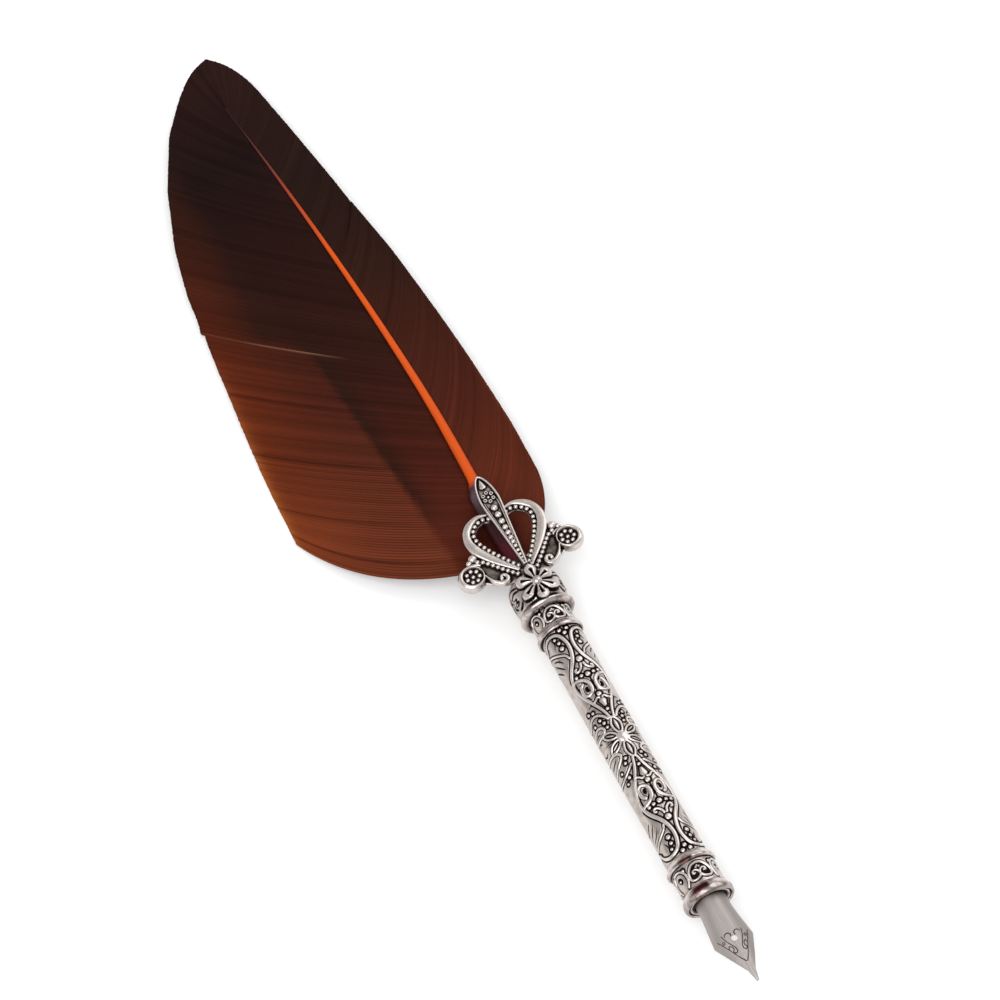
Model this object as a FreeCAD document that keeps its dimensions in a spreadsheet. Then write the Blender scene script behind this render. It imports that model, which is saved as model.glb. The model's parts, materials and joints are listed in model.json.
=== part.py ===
# Quill pen with a cast silver handle, a crown socket and a dyed feather.
#
# Frame: the origin is on the handle's axis in the middle of the mouth ring's land, +Y runs along the pen
# towards the feather's tip, the nib points to -Y, +X is the narrow vane's side and +Z is the front
# of the crown. The pen lies on its back, so +Z is up. All lengths are millimetres.
import FreeCAD, Part
import math
import os
import re
import Sketcher

SIZES = {
    # Mouth ring, the polished end of the handle: how far it reaches to both sides of the origin, its
    # lip, and the step down to the band behind it.
    "mouth_ring_radius": 5.65,
    "mouth_ring_front": 1.2,
    "mouth_ring_back": 1.8,
    "mouth_ring_lip": 2.1,
    "mouth_ring_step": 0.15,
    "mouth_ring_round": 0.5,
    # Lower heart band and neck ring.
    "lower_band_radius": 4.9,
    "lower_band_length": 5.5,
    "lower_neck_radius": 5.5,
    "lower_neck_width": 2.2,
    "neck_ring_step": 0.15,
    "neck_ring_lip": 1.2,
    "neck_ring_round": 0.5,
    # Bush behind the mouth ring, a sliding fit for the nib holder.
    "bush_radius": 4.3,
    "bush_recess": 1.0,
    "bush_depth": 9.2,
    "bush_spigot_length": 5.5,
    "bush_vent_radius": 1.5,
    # Nib holder, its washer and the core that clamps the nib.
    "running_clearance": 0.05,
    "holder_radius": 3.8,
    "holder_bore_radius": 3.5,
    "holder_length": 9.3,
    "holder_floor": 0.8,
    "holder_flange_radius": 4.5,
    "flange_clearance": 0.1,
    "holder_flange": 0.6,
    "washer_thickness": 0.4,
    "core_length": 7.4,
    # Nib: how far each of its sections lies from the holder's mouth, and that section's form.
    "nib_sheet": 0.3,
    "nib_seat_depth": 7.6,
    "nib_shank_length": 2.5,
    "nib_shoulder_length": 7.5,
    "nib_shoulder_half_width": 4.35,
    "nib_shoulder_rise": 2.5,
    "nib_neck_length": 4.8,
    "nib_neck_half_width": 2.3,
    "nib_neck_rise": 0.9,
    "nib_point_length": 3.1,
    "nib_point_half_width": 0.85,
    "nib_point_rise": 0.21,
    "nib_tip_length": 2.7,
    "nib_tip_half_width": 0.28,
    "nib_tip_rise": 0.09,
    "nib_tip_drop": 0.5,
    "nib_hole_radius": 0.65,
    "nib_hole_past_shoulder": 0.3,
    "nib_slit": 0.12,
    # Barrel.
    "liner_radius": 4.0,
    "liner_bore_radius": 3.2,
    "barrel_radius": 4.65,
    "barrel_length": 59.95,
    "barrel_edge": 0.3,
    # Upper neck ring, heart band and flange ring.
    "upper_neck_radius": 5.4,
    "upper_neck_width": 2.0,
    "upper_band_radius": 4.75,
    "upper_band_length": 3.55,
    "flange_radius": 6.45,
    "flange_width": 2.8,
    "flange_step": 0.15,
    "flange_lip": 1.4,
    "flange_round": 0.6,
    # Crown base and the stud that draws it on to the liner.
    "stud_shoulder": 1.3,
    "stud_depth": 6.5,
    "stud_radius": 2.5,
    "stud_reach": 3.0,
    "base_radius": 6.15,
    "base_foot_radius": 5.3,
    "base_foot_height": 1.7,
    "base_side_height": 3.3,
    "base_top_radius": 5.4,
    "base_top_height": 1.8,
    "base_floor": 0.4,
    # Quill socket, by how far it stands out of the crown base.
    "socket_radius": 3.05,
    "socket_reach": 5.7,
    "quill_clearance": 0.05,
    # Crown frame, in front of the quill. Its rises are above the crown base.
    "frame_inner_face": 3.1,
    "frame_thickness": 1.5,
    "loop_radius": 4.9,
    "loop_centre_x": 4.9,
    "loop_centre_rise": 14.3,
    "loop_foot_radius": 1.6,
    "loop_foot_rise": 3.0,
    "eye_radius": 3.1,
    "eye_centre_x": 3.2,
    "eye_centre_rise": 13.1,
    "eye_foot_radius": 0.4,
    "eye_foot_x": 0.9,
    "eye_foot_rise": 5.8,
    "wing_root_x": 5.0,
    "wing_elbow_x": 8.7,
    "wing_elbow_rise": 1.9,
    "wing_crotch_rise": 4.0,
    "knob_x": 9.6,
    "knob_rise": 9.4,
    "knob_radius": 1.0,
    "volute_x": 11.8,
    "volute_rise": 4.8,
    "volute_radius": 3.15,
    "volute_inner_face": 2.4,
    "volute_thickness": 2.9,
    "volute_dish_radius": 2.1,
    "volute_dish_depth": 0.7,
    # Spear leaf, on the front of the crown frame.
    "spear_foot_rise": 1.8,
    "spear_side_length": 19.2,
    "spear_tip_length": 6.7,
    "spear_half_width": 2.3,
    "spear_thickness": 1.6,
    # Rosette and its rivet.
    "rosette_rise": 3.2,
    "rosette_proud": 1.15,
    "rosette_hub_radius": 2.2,
    "petal_count": 6,
    "petal_radius": 1.75,
    "petal_reach": 3.0,
    "rivet_radius": 0.6,
    "rivet_head_radius": 1.1,
    "rivet_head_height": 0.7,
    "rivet_depth": 3.0,
    # Feather: quill, rachis line and the two vanes.
    "quill_radius": 2.3,
    "quill_neck_length": 13.7,
    "quill_taper_length": 9.0,
    "rachis_radius": 1.15,
    "rachis_length": 132.5,
    "rachis_end_radius": 0.12,
    "rachis_straight": 5.0,
    "rachis_bend": 7.7,
    "feather_sag": 3.0,
    "feather_tip_x": -5.8,
    "feather_tip_length": 17.7,
    "vane_foot_gap": 1.5,
    "vane_sheet": 0.4,
    "vane_root_gap": 0.22,
    "vane_split": 60.2,
    "vane_split_gap": 0.5,
    "broad_width": 41.0,
    "broad_droop": 6.7,
    "narrow_width": 15.0,
    "narrow_droop": 1.6,
}

# Stations along the pen, and heights above its axis, as sums of those sizes.
MOUTH_BACK = "mouth_ring_back"
LOWER_BAND_BACK = f"{MOUTH_BACK} + lower_band_length"
LOWER_NECK_BACK = f"{LOWER_BAND_BACK} + lower_neck_width"
BARREL_BACK = f"{LOWER_NECK_BACK} + barrel_length"
UPPER_NECK_BACK = f"{BARREL_BACK} + upper_neck_width"
UPPER_BAND_BACK = f"{UPPER_NECK_BACK} + upper_band_length"
FLANGE_BACK = f"{UPPER_BAND_BACK} + flange_width"
BASE_TOP = f"{FLANGE_BACK} + base_foot_height + base_side_height + base_top_height"
STUD_TOP = f"{FLANGE_BACK} + stud_reach"
SOCKET_FLOOR = f"{STUD_TOP} + base_floor"
SOCKET_TOP = f"{BASE_TOP} + socket_reach"
BUSH_FRONT = "- mouth_ring_front + bush_recess"
BUSH_FLOOR = f"{BUSH_FRONT} + bush_depth"
HOLDER_SEAT = f"{BUSH_FRONT} - washer_thickness"
HOLDER_MOUTH = f"{HOLDER_SEAT} - holder_flange"
HOLDER_BACK = f"{HOLDER_SEAT} + holder_length"
CORE_BACK = f"{HOLDER_BACK} - holder_floor"
FRAME_FACE = "frame_inner_face + frame_thickness"
ROSETTE_Y = f"{FLANGE_BACK} + rosette_rise"
ROSETTE_FACE = "base_radius + rosette_proud"
QUILL_SHOULDER = f"{SOCKET_TOP} + quill_neck_length"
RACHIS_START = f"{QUILL_SHOULDER} + quill_taper_length"
RACHIS_BEND_START = f"{RACHIS_START} + rachis_straight"
RACHIS_END = f"{RACHIS_START} + rachis_length"
FEATHER_TIP = f"{RACHIS_END} + feather_tip_length"
VANE_START = f"{SOCKET_TOP} + vane_foot_gap"

# Power of the rachis's side bend and of its taper: a bend that grows towards the tip.
BEND_POWER = 1.8
TAPER_POWER = 1.3
RACHIS_SPANS = 8

# Bow of the last rib, as a share of its length.
TIP_BOW = 0.02

# Ribs of the vanes, each along one barb: how far along the vane its root is, its reach as a share
# of the vane's width, how far its tip lies beyond its root towards the feather's tip, and how much
# it bows, as a share of its length.
BROAD_RIBS = (
    (0.000, 1.000, 30.8, 0.145),
    (0.045, 0.998, 29.0, 0.085),
    (0.085, 0.998, 29.2, 0.060),
    (0.140, 0.993, 30.0, 0.045),
    (0.215, 0.975, 31.5, 0.035),
    (0.320, 0.936, 34.0, 0.030),
    (0.460, 0.878, 36.0, 0.030),
    (0.560, 0.799, 34.5, 0.030),
    (0.695, 0.646, 30.5, 0.030),
    (0.825, 0.444, 26.0, 0.030),
    (0.925, 0.241, 20.5, 0.030),
)
NARROW_RIBS = (
    (0.000, 0.967, 20.2, 0.120),
    (0.080, 0.993, 23.0, 0.060),
    (0.180, 0.940, 26.0, 0.040),
    (0.310, 0.885, 23.5, 0.040),
    (0.470, 0.817, 21.0, 0.040),
    (0.630, 0.713, 15.5, 0.040),
    (0.760, 0.667, 12.5, 0.040),
    (0.880, 0.613, 10.5, 0.040),
    (0.955, 0.540, 13.0, 0.040),
)

doc = FreeCAD.newDocument("quill_pen")
sheet = doc.addObject("Spreadsheet::Sheet", "sizes")
for row, (alias, value) in enumerate(SIZES.items(), start=1):
    sheet.set(f"A{row}", alias)
    sheet.set(f"B{row}", str(value))
    sheet.setAlias(f"B{row}", alias)
doc.recompute()

pieces = []


def size(alias):
    """The value of one cell of the sheet."""
    return float(sheet.get(alias))


def bound(text):
    """An expression on the sheet's cells, from a sum written with bare aliases."""
    return re.sub(r"[a-z][a-z_]*", r"sizes.\g<0>", text)


def total(text):
    """The value of a sum of aliases, such as "barrel_length - barrel_edge"."""
    result = 0.0
    sign = 1
    for word in text.split():
        if word in "+-":
            sign = 1 if word == "+" else -1
        else:
            result += sign * size(word)
    return result


def vector(x, y, z=0.0):
    return FreeCAD.Vector(x, y, z)


# ---------------------------------------------------------------- turned pieces

def profile_sketch(body, name, corners):
    """A closed outline on the XY plane. Each corner is a radius and a station along the pen."""
    sketch = body.newObject("Sketcher::SketchObject", name)
    planes = [item for item in body.Origin.OriginFeatures if item.Role == "XY_Plane"]
    sketch.AttachmentSupport = [(planes[0], "")]
    sketch.MapMode = "FlatFace"
    count = len(corners)
    for index in range(count):
        start = vector(1.0 + index, index * index)
        end = vector(2.0 + index, 1.0 - index)
        sketch.addGeometry(Part.LineSegment(start, end), False)
    for index, (radius, station) in enumerate(corners):
        sketch.addConstraint(Sketcher.Constraint("Coincident", (index - 1) % count, 2, index, 1))
        if radius == "0":
            sketch.addConstraint(Sketcher.Constraint("PointOnObject", index, 1, -2))
        else:
            across = sketch.addConstraint(Sketcher.Constraint("DistanceX", -1, 1, index, 1, 1.0))
            sketch.setExpression(f"Constraints[{across}]", bound(radius))
        along = sketch.addConstraint(Sketcher.Constraint("DistanceY", -1, 1, index, 1, 1.0))
        sketch.setExpression(f"Constraints[{along}]", bound(station))
    return sketch


def turned(name, corners):
    """A body of revolution about the pen's axis."""
    body = doc.addObject("PartDesign::Body", name)
    sketch = profile_sketch(body, f"{name}_profile", corners)
    revolution = body.newObject("PartDesign::Revolution", f"{name}_turning")
    revolution.Profile = sketch
    revolution.ReferenceAxis = (sketch, ["V_Axis"])
    revolution.Angle = 360
    doc.recompute()
    pieces.append(body)
    return body


def round_edges(body, edge_radius, round_size):
    """Round every circular edge of the body that has this radius."""
    base = body.Tip
    names = []
    for index, edge in enumerate(base.Shape.Edges, start=1):
        if hasattr(edge.Curve, "Radius") and abs(edge.Curve.Radius - size(edge_radius)) < 0.001:
            names.append(f"Edge{index}")
    fillet = body.newObject("PartDesign::Fillet", f"{body.Name}_rounding")
    fillet.Base = (base, names)
    fillet.setExpression("Radius", bound(round_size))
    doc.recompute()


def tube(name, outer, inner, front, back):
    """A plain tube between two stations."""
    return turned(name, ((inner, front), (outer, front), (outer, back), (inner, back)))


def make_mouth_ring():
    bore = "holder_flange_radius + flange_clearance"
    ring = turned("mouth_ring", (
        (bore, "- mouth_ring_front"),
        ("mouth_ring_radius", "- mouth_ring_front"),
        ("mouth_ring_radius", "- mouth_ring_front + mouth_ring_lip"),
        ("lower_band_radius + mouth_ring_step", MOUTH_BACK),
        ("bush_radius", MOUTH_BACK),
        ("bush_radius", BUSH_FRONT),
        (bore, BUSH_FRONT),
    ))
    round_edges(ring, "mouth_ring_radius", "mouth_ring_round")


def make_lower_ferrule():
    tube("lower_heart_band", "lower_band_radius", "bush_radius", MOUTH_BACK, LOWER_BAND_BACK)
    ring = turned("lower_neck_ring", (
        ("bush_radius", LOWER_BAND_BACK),
        ("lower_neck_radius", LOWER_BAND_BACK),
        ("lower_neck_radius", f"{LOWER_BAND_BACK} + neck_ring_lip"),
        ("barrel_radius + neck_ring_step", LOWER_NECK_BACK),
        ("liner_radius", LOWER_NECK_BACK),
        ("liner_radius", BUSH_FLOOR),
        ("bush_radius", BUSH_FLOOR),
    ))
    round_edges(ring, "lower_neck_radius", "neck_ring_round")


def make_nib_bush():
    bore = "holder_radius + running_clearance"
    bore_floor = f"{BUSH_FLOOR} - running_clearance"
    spigot_end = f"{BUSH_FLOOR} + bush_spigot_length"
    turned("nib_bush", (
        (bore, BUSH_FRONT),
        ("bush_radius", BUSH_FRONT),
        ("bush_radius", BUSH_FLOOR),
        ("liner_bore_radius", BUSH_FLOOR),
        ("liner_bore_radius", spigot_end),
        ("bush_vent_radius", spigot_end),
        ("bush_vent_radius", bore_floor),
        (bore, bore_floor),
    ))


def make_nib_holder():
    turned("nib_holder", (
        ("holder_bore_radius", HOLDER_MOUTH),
        ("holder_flange_radius", HOLDER_MOUTH),
        ("holder_flange_radius", HOLDER_SEAT),
        ("holder_radius", HOLDER_SEAT),
        ("holder_radius", HOLDER_BACK),
        ("0", HOLDER_BACK),
        ("0", CORE_BACK),
        ("holder_bore_radius", CORE_BACK),
    ))
    washer_bore = "holder_radius + running_clearance"
    tube("holder_washer", "holder_flange_radius", washer_bore, HOLDER_SEAT, BUSH_FRONT)
    core_radius = "holder_bore_radius - running_clearance - nib_sheet - running_clearance"
    core_front = f"{CORE_BACK} - core_length"
    turned("nib_core", (
        ("0", core_front),
        (core_radius, core_front),
        (core_radius, CORE_BACK),
        ("0", CORE_BACK),
    ))


def make_barrel():
    tube("barrel_liner", "liner_radius", "liner_bore_radius", BUSH_FLOOR, f"{FLANGE_BACK} - stud_shoulder")
    turned("barrel_shell", (
        ("liner_radius", LOWER_NECK_BACK),
        ("barrel_radius - barrel_edge", LOWER_NECK_BACK),
        ("barrel_radius", f"{LOWER_NECK_BACK} + barrel_edge"),
        ("barrel_radius", f"{BARREL_BACK} - barrel_edge"),
        ("barrel_radius - barrel_edge", BARREL_BACK),
        ("liner_radius", BARREL_BACK),
    ))


def flared_ring(name, radius, back_radius, front, lip, back):
    """A ring on the liner, with a lip at its nib end and a slope behind it."""
    return turned(name, (
        ("liner_radius", front),
        (radius, front),
        (radius, f"{front} + {lip}"),
        (back_radius, back),
        ("liner_radius", back),
    ))


def make_upper_ferrule():
    ring = flared_ring("upper_neck_ring", "upper_neck_radius", "upper_band_radius + neck_ring_step",
                       BARREL_BACK, "neck_ring_lip", UPPER_NECK_BACK)
    round_edges(ring, "upper_neck_radius", "neck_ring_round")
    tube("upper_heart_band", "upper_band_radius", "liner_radius", UPPER_NECK_BACK, UPPER_BAND_BACK)
    flange = flared_ring("flange_ring", "flange_radius", "base_foot_radius + flange_step",
                         UPPER_BAND_BACK, "flange_lip", FLANGE_BACK)
    round_edges(flange, "flange_radius", "flange_round")


def make_crown_stud():
    shoulder = f"{FLANGE_BACK} - stud_shoulder"
    turned("crown_stud", (
        ("0", f"{shoulder} - stud_depth"),
        ("liner_bore_radius", f"{shoulder} - stud_depth"),
        ("liner_bore_radius", shoulder),
        ("liner_radius", shoulder),
        ("liner_radius", FLANGE_BACK),
        ("stud_radius", FLANGE_BACK),
        ("stud_radius", STUD_TOP),
        ("0", STUD_TOP),
    ))


def make_crown_base():
    base = turned("crown_base", (
        ("stud_radius", FLANGE_BACK),
        ("base_foot_radius", FLANGE_BACK),
        ("base_radius", f"{FLANGE_BACK} + base_foot_height"),
        ("base_radius", f"{BASE_TOP} - base_top_height"),
        ("base_top_radius", BASE_TOP),
        ("socket_radius", BASE_TOP),
        ("socket_radius", SOCKET_FLOOR),
        ("0", SOCKET_FLOOR),
        ("0", STUD_TOP),
        ("stud_radius", STUD_TOP),
    ))
    sketch = base.newObject("Sketcher::SketchObject", "rivet_hole_outline")
    planes = [item for item in base.Origin.OriginFeatures if item.Role == "XY_Plane"]
    sketch.AttachmentSupport = [(planes[0], "")]
    sketch.MapMode = "FlatFace"
    sketch.setExpression("AttachmentOffset.Base.z", bound(f"{ROSETTE_FACE} - rivet_depth"))
    circle = Part.Circle(vector(0, total(ROSETTE_Y)), vector(0, 0, 1), size("rivet_radius"))
    sketch.addGeometry(circle, False)
    sketch.addConstraint(Sketcher.Constraint("PointOnObject", 0, 3, -2))
    along = sketch.addConstraint(Sketcher.Constraint("DistanceY", -1, 1, 0, 3, total(ROSETTE_Y)))
    sketch.setExpression(f"Constraints[{along}]", bound(ROSETTE_Y))
    across = sketch.addConstraint(Sketcher.Constraint("Radius", 0, size("rivet_radius")))
    sketch.setExpression(f"Constraints[{across}]", bound("rivet_radius"))
    hole = base.newObject("PartDesign::Pocket", "rivet_hole")
    hole.Profile = sketch
    hole.Type = "ThroughAll"
    hole.Reversed = True
    doc.recompute()


def make_quill_socket():
    tube("quill_socket", "socket_radius", "quill_radius + quill_clearance", SOCKET_FLOOR, SOCKET_TOP)


# ---------------------------------------------------------------- cast and formed pieces

def shaped(name, shape):
    """A piece whose shape is worked out from the sheet's values."""
    feature = doc.addObject("Part::Feature", name)
    feature.Shape = shape
    pieces.append(feature)
    return feature


def slab(face, low, high):
    """The face, which lies at height 0, as a slab between two heights."""
    raised = face.copy()
    raised.translate(vector(0, 0, low))
    return raised.extrude(vector(0, 0, high - low))


def polygon(points):
    closed = [vector(x, y) for x, y in points]
    return Part.Face(Part.makePolygon(closed + closed[:1]))


def disc(x, y, radius):
    return Part.Face(Part.Wire(Part.makeCircle(radius, vector(x, y))))


def teardrop(head, head_radius, foot, foot_radius):
    """The outline round two circles, with their outer tangents as its sides."""
    across = vector(foot[0] - head[0], foot[1] - head[1])
    heading = math.atan2(across.y, across.x)
    opening = math.acos((head_radius - foot_radius) / across.Length)

    def on(centre, radius, angle):
        return vector(centre[0] + radius * math.cos(angle), centre[1] + radius * math.sin(angle))

    left = heading + opening
    right = heading - opening
    edges = [
        Part.Arc(on(head, head_radius, left), on(head, head_radius, heading + math.pi),
                 on(head, head_radius, right)).toShape(),
        Part.LineSegment(on(head, head_radius, right), on(foot, foot_radius, right)).toShape(),
        Part.Arc(on(foot, foot_radius, right), on(foot, foot_radius, heading),
                 on(foot, foot_radius, left)).toShape(),
        Part.LineSegment(on(foot, foot_radius, left), on(head, head_radius, left)).toShape(),
    ]
    return Part.Face(Part.Wire(edges))


def crown_half(side):
    """Loop, wing, knob and volute on one side of the spear."""
    inner = size("frame_inner_face")
    outer = total(FRAME_FACE)

    def point(across, rise):
        return side * size(across), total(f"{BASE_TOP} + {rise}")

    loop = teardrop(point("loop_centre_x", "loop_centre_rise"), size("loop_radius"),
                    point("loop_foot_radius", "loop_foot_rise"), size("loop_foot_radius"))
    eye = teardrop(point("eye_centre_x", "eye_centre_rise"), size("eye_radius"),
                   point("eye_foot_x", "eye_foot_rise"), size("eye_foot_radius"))
    volute_centre = point("volute_x", "volute_rise")
    knob_centre = point("knob_x", "knob_rise")
    wing = polygon([
        (0, total(BASE_TOP)),
        (side * size("wing_root_x"), total(BASE_TOP)),
        point("wing_elbow_x", "wing_elbow_rise"),
        volute_centre,
        knob_centre,
        (0, total(f"{BASE_TOP} + wing_crotch_rise")),
    ])
    volute_inner = size("volute_inner_face")
    volute_outer = total("volute_inner_face + volute_thickness")
    solid = slab(wing, inner, outer).multiFuse([
        slab(loop, inner, outer),
        slab(disc(*knob_centre, size("knob_radius")), inner, outer),
        slab(disc(*volute_centre, size("volute_radius")), volute_inner, volute_outer),
    ])
    dish = disc(*volute_centre, size("volute_dish_radius"))
    return solid.cut([
        slab(eye, inner, outer),
        slab(dish, volute_outer - size("volute_dish_depth"), volute_outer),
    ])


def make_crown_frame():
    left, right = [crown_half(side) for side in (-1, 1)]
    shaped("crown_frame", left.fuse(right).removeSplitter())


def spear_face():
    """A leaf: straight sides to its widest place, then two arcs to the tip."""
    half_width = size("spear_half_width")
    tip_length = size("spear_tip_length")
    foot_y = total(f"{BASE_TOP} + spear_foot_rise")
    wide_y = foot_y + size("spear_side_length")
    arc_radius = (half_width ** 2 + tip_length ** 2) / (2 * half_width)
    half_turn = math.asin(tip_length / arc_radius) / 2
    bulge_x = half_width - arc_radius * (1 - math.cos(half_turn))
    bulge_y = wide_y + arc_radius * math.sin(half_turn)
    foot = vector(0, foot_y)
    tip = vector(0, wide_y + tip_length)
    right = vector(half_width, wide_y)
    left = vector(-half_width, wide_y)
    return Part.Face(Part.Wire([
        Part.LineSegment(foot, right).toShape(),
        Part.Arc(right, vector(bulge_x, bulge_y), tip).toShape(),
        Part.Arc(tip, vector(-bulge_x, bulge_y), left).toShape(),
        Part.LineSegment(left, foot).toShape(),
    ]))


def make_spear_leaf():
    seat = total(FRAME_FACE)
    shaped("spear_leaf", slab(spear_face(), seat, seat + size("spear_thickness")))


def make_rosette():
    """Petals round a hub, hollowed behind to sit on the crown base and the flange ring."""
    centre_y = total(ROSETTE_Y)
    face = total(ROSETTE_FACE)
    petals = []
    for index in range(int(size("petal_count"))):
        angle = math.pi / 2 + index * 2 * math.pi / size("petal_count")
        x = size("petal_reach") * math.cos(angle)
        y = centre_y + size("petal_reach") * math.sin(angle)
        petals.append(slab(disc(x, y, size("petal_radius")), 0, face))
    flower = slab(disc(0, centre_y, size("rosette_hub_radius")), 0, face).multiFuse(petals)
    along = vector(0, 1, 0)
    base = Part.makeCylinder(size("base_radius"), total(BASE_TOP) - total(FLANGE_BACK),
                             vector(0, total(FLANGE_BACK)), along)
    flange = Part.makeCylinder(size("flange_radius"), size("flange_width"),
                               vector(0, total(UPPER_BAND_BACK)), along)
    reach = size("petal_reach") + size("petal_radius")
    frame = Part.makeBox(2 * reach, reach, total(FRAME_FACE), vector(-reach, total(BASE_TOP)))
    rivet = Part.makeCylinder(size("rivet_radius"), face, vector(0, centre_y))
    shaped("rosette", flower.cut([base, flange, frame, rivet]).removeSplitter())
    head_radius = size("rivet_head_radius")
    head_height = size("rivet_head_height")
    dome_radius = (head_radius ** 2 + head_height ** 2) / (2 * head_height)
    head = Part.makeSphere(dome_radius, vector(0, centre_y, face + head_height - dome_radius))
    above = Part.makeCylinder(2 * dome_radius, 2 * dome_radius, vector(0, centre_y, face))
    shank = Part.makeCylinder(size("rivet_radius"), size("rivet_depth"),
                              vector(0, centre_y, face - size("rivet_depth")))
    shaped("rosette_rivet", head.common(above).fuse(shank))


# ---------------------------------------------------------------- nib

def nib_section(station, half_width, rise, crest):
    """A thin curved strip across the nib: its width, how far its sides drop, and its top's height."""
    thickness = size("nib_sheet")
    radius = (half_width ** 2 + rise ** 2) / (2 * rise)
    half_angle = math.asin(min(1.0, half_width / radius))
    centre = crest - radius

    def on(distance, angle):
        return vector(distance * math.sin(angle), station, centre + distance * math.cos(angle))

    outer = Part.Arc(on(radius, -half_angle), on(radius, 0), on(radius, half_angle))
    inner = Part.Arc(on(radius - thickness, half_angle), on(radius - thickness, 0),
                     on(radius - thickness, -half_angle))
    return Part.Wire([
        outer.toShape(),
        Part.LineSegment(on(radius, half_angle), on(radius - thickness, half_angle)).toShape(),
        inner.toShape(),
        Part.LineSegment(on(radius - thickness, -half_angle), on(radius, -half_angle)).toShape(),
    ])


def make_nib():
    mouth = total(HOLDER_MOUTH)
    shank_radius = total("holder_bore_radius - running_clearance")
    reach = 0.0
    sections = [nib_section(mouth + size("nib_seat_depth"), shank_radius, shank_radius, shank_radius)]
    sections.append(nib_section(mouth - size("nib_shank_length"), shank_radius, shank_radius, shank_radius))
    free_length = total("nib_shoulder_length + nib_neck_length + nib_point_length + nib_tip_length")
    for name in ("shoulder", "neck", "point", "tip"):
        reach += size(f"nib_{name}_length")
        crest = shank_radius - size("nib_tip_drop") * reach / free_length
        station = mouth - size("nib_shank_length") - reach
        half_width = size(f"nib_{name}_half_width")
        sections.append(nib_section(station, half_width, size(f"nib_{name}_rise"), crest))
    blank = Part.makeLoft(sections, True, True)
    hole_y = mouth - total("nib_shank_length + nib_shoulder_length + nib_hole_past_shoulder")
    hole = Part.makeCylinder(size("nib_hole_radius"), 2 * shank_radius, vector(0, hole_y))
    slit = Part.makeBox(size("nib_slit"), free_length, 2 * shank_radius,
                        vector(-size("nib_slit") / 2, hole_y - free_length))
    shaped("nib", blank.cut([hole, slit]))


# ---------------------------------------------------------------- feather

def rachis_x(station):
    """Side bend of the rachis, which starts along the shaft and grows towards its end."""
    start = total(RACHIS_BEND_START)
    along = (station - start) / (total(RACHIS_END) - start)
    return -size("rachis_bend") * max(0.0, along) ** BEND_POWER


def rachis_z(station):
    """Sag of the feather below the handle's axis."""
    start = total(SOCKET_TOP)
    along = (station - start) / (total(FEATHER_TIP) - start)
    return -size("feather_sag") * max(0.0, along) ** 2


def rachis_radius(station):
    """Radius of the quill and rachis at a station."""
    shoulder = total(QUILL_SHOULDER)
    start = total(RACHIS_START)
    if station <= shoulder:
        return size("quill_radius")
    if station < start:
        along = (station - shoulder) / size("quill_taper_length")
        return size("quill_radius") + along * (size("rachis_radius") - size("quill_radius"))
    along = min(1.0, (station - start) / size("rachis_length"))
    end_radius = size("rachis_end_radius")
    return end_radius + (size("rachis_radius") - end_radius) * (1 - along ** TAPER_POWER)


def make_quill():
    foot = total(f"{SOCKET_FLOOR} + quill_clearance")
    top = total(SOCKET_TOP)
    span = size("rachis_length") / RACHIS_SPANS
    stations = [top, total(QUILL_SHOULDER)]
    stations += [total(RACHIS_START) + index * span for index in range(RACHIS_SPANS + 1)]
    along = vector(0, 1, 0)
    rings = []
    for station in stations:
        centre = vector(rachis_x(station), station, rachis_z(station))
        rings.append(Part.Wire(Part.makeCircle(rachis_radius(station), centre, along)))
    shaft = Part.makeLoft(rings, True, True)
    calamus = Part.makeCylinder(size("quill_radius"), top - foot, vector(0, foot), along)
    shaped("feather_quill", calamus.fuse(shaft).removeSplitter())


def vane_height(x, y, width, droop):
    """Height of a vane's middle surface, which bends down from the rachis to its edge."""
    across = (x - rachis_x(y)) / width
    return rachis_z(y) - droop * across ** 2


def vane_rib(side, root, tip, bow, width, droop):
    """The line of one barb, from the rachis to the vane's edge."""
    chord = vector(tip[0] - root[0], tip[1] - root[1])
    middle = ((root[0] + tip[0]) / 2 + side * bow * chord.y,
              (root[1] + tip[1]) / 2 - side * bow * chord.x)
    points = [vector(x, y, vane_height(x, y, width, droop)) for x, y in (root, middle, tip)]
    return Part.Wire(Part.Arc(*points).toShape())


def vane(name, ribs):
    """A thin sheet through its ribs."""
    thickness = vector(0, 0, size("vane_sheet"))
    skin = Part.makeLoft(ribs, False, False)
    skin.translate(-0.5 * thickness)
    shaped(name, skin.Faces[0].extrude(thickness))


def vane_length():
    return total(f"{RACHIS_END} - vane_foot_gap") - total(SOCKET_TOP)


def vane_station(share):
    """Station of a barb's root, from its share of the way along the vane."""
    return total(VANE_START) + share * vane_length()


def rib_at(side, ribs, share, width, droop):
    """The rib whose root is at a share of the vane's length, between those listed."""
    after = next((index for index, rib in enumerate(ribs) if rib[0] >= share), len(ribs) - 1)
    after = max(1, after)
    low, high = ribs[after - 1], ribs[after]
    blend = (share - low[0]) / (high[0] - low[0])
    reach, sweep, bow = [low[item] + blend * (high[item] - low[item]) for item in (1, 2, 3)]
    station = vane_station(share)
    root_x = rachis_x(station) + side * (rachis_radius(station) + size("vane_root_gap"))
    tip = (rachis_x(station) + side * reach * width, station + sweep)
    return vane_rib(side, (root_x, station), tip, bow, width, droop)


def tip_rib(side, width, droop):
    """The last rib, from the rachis's end to the feather's tip."""
    end = total(RACHIS_END)
    root = (rachis_x(end) + side * total("rachis_end_radius + vane_root_gap"), end)
    tip = (size("feather_tip_x") + side * size("vane_root_gap"), total(FEATHER_TIP))
    return vane_rib(side, root, tip, TIP_BOW, width, droop)


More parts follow.
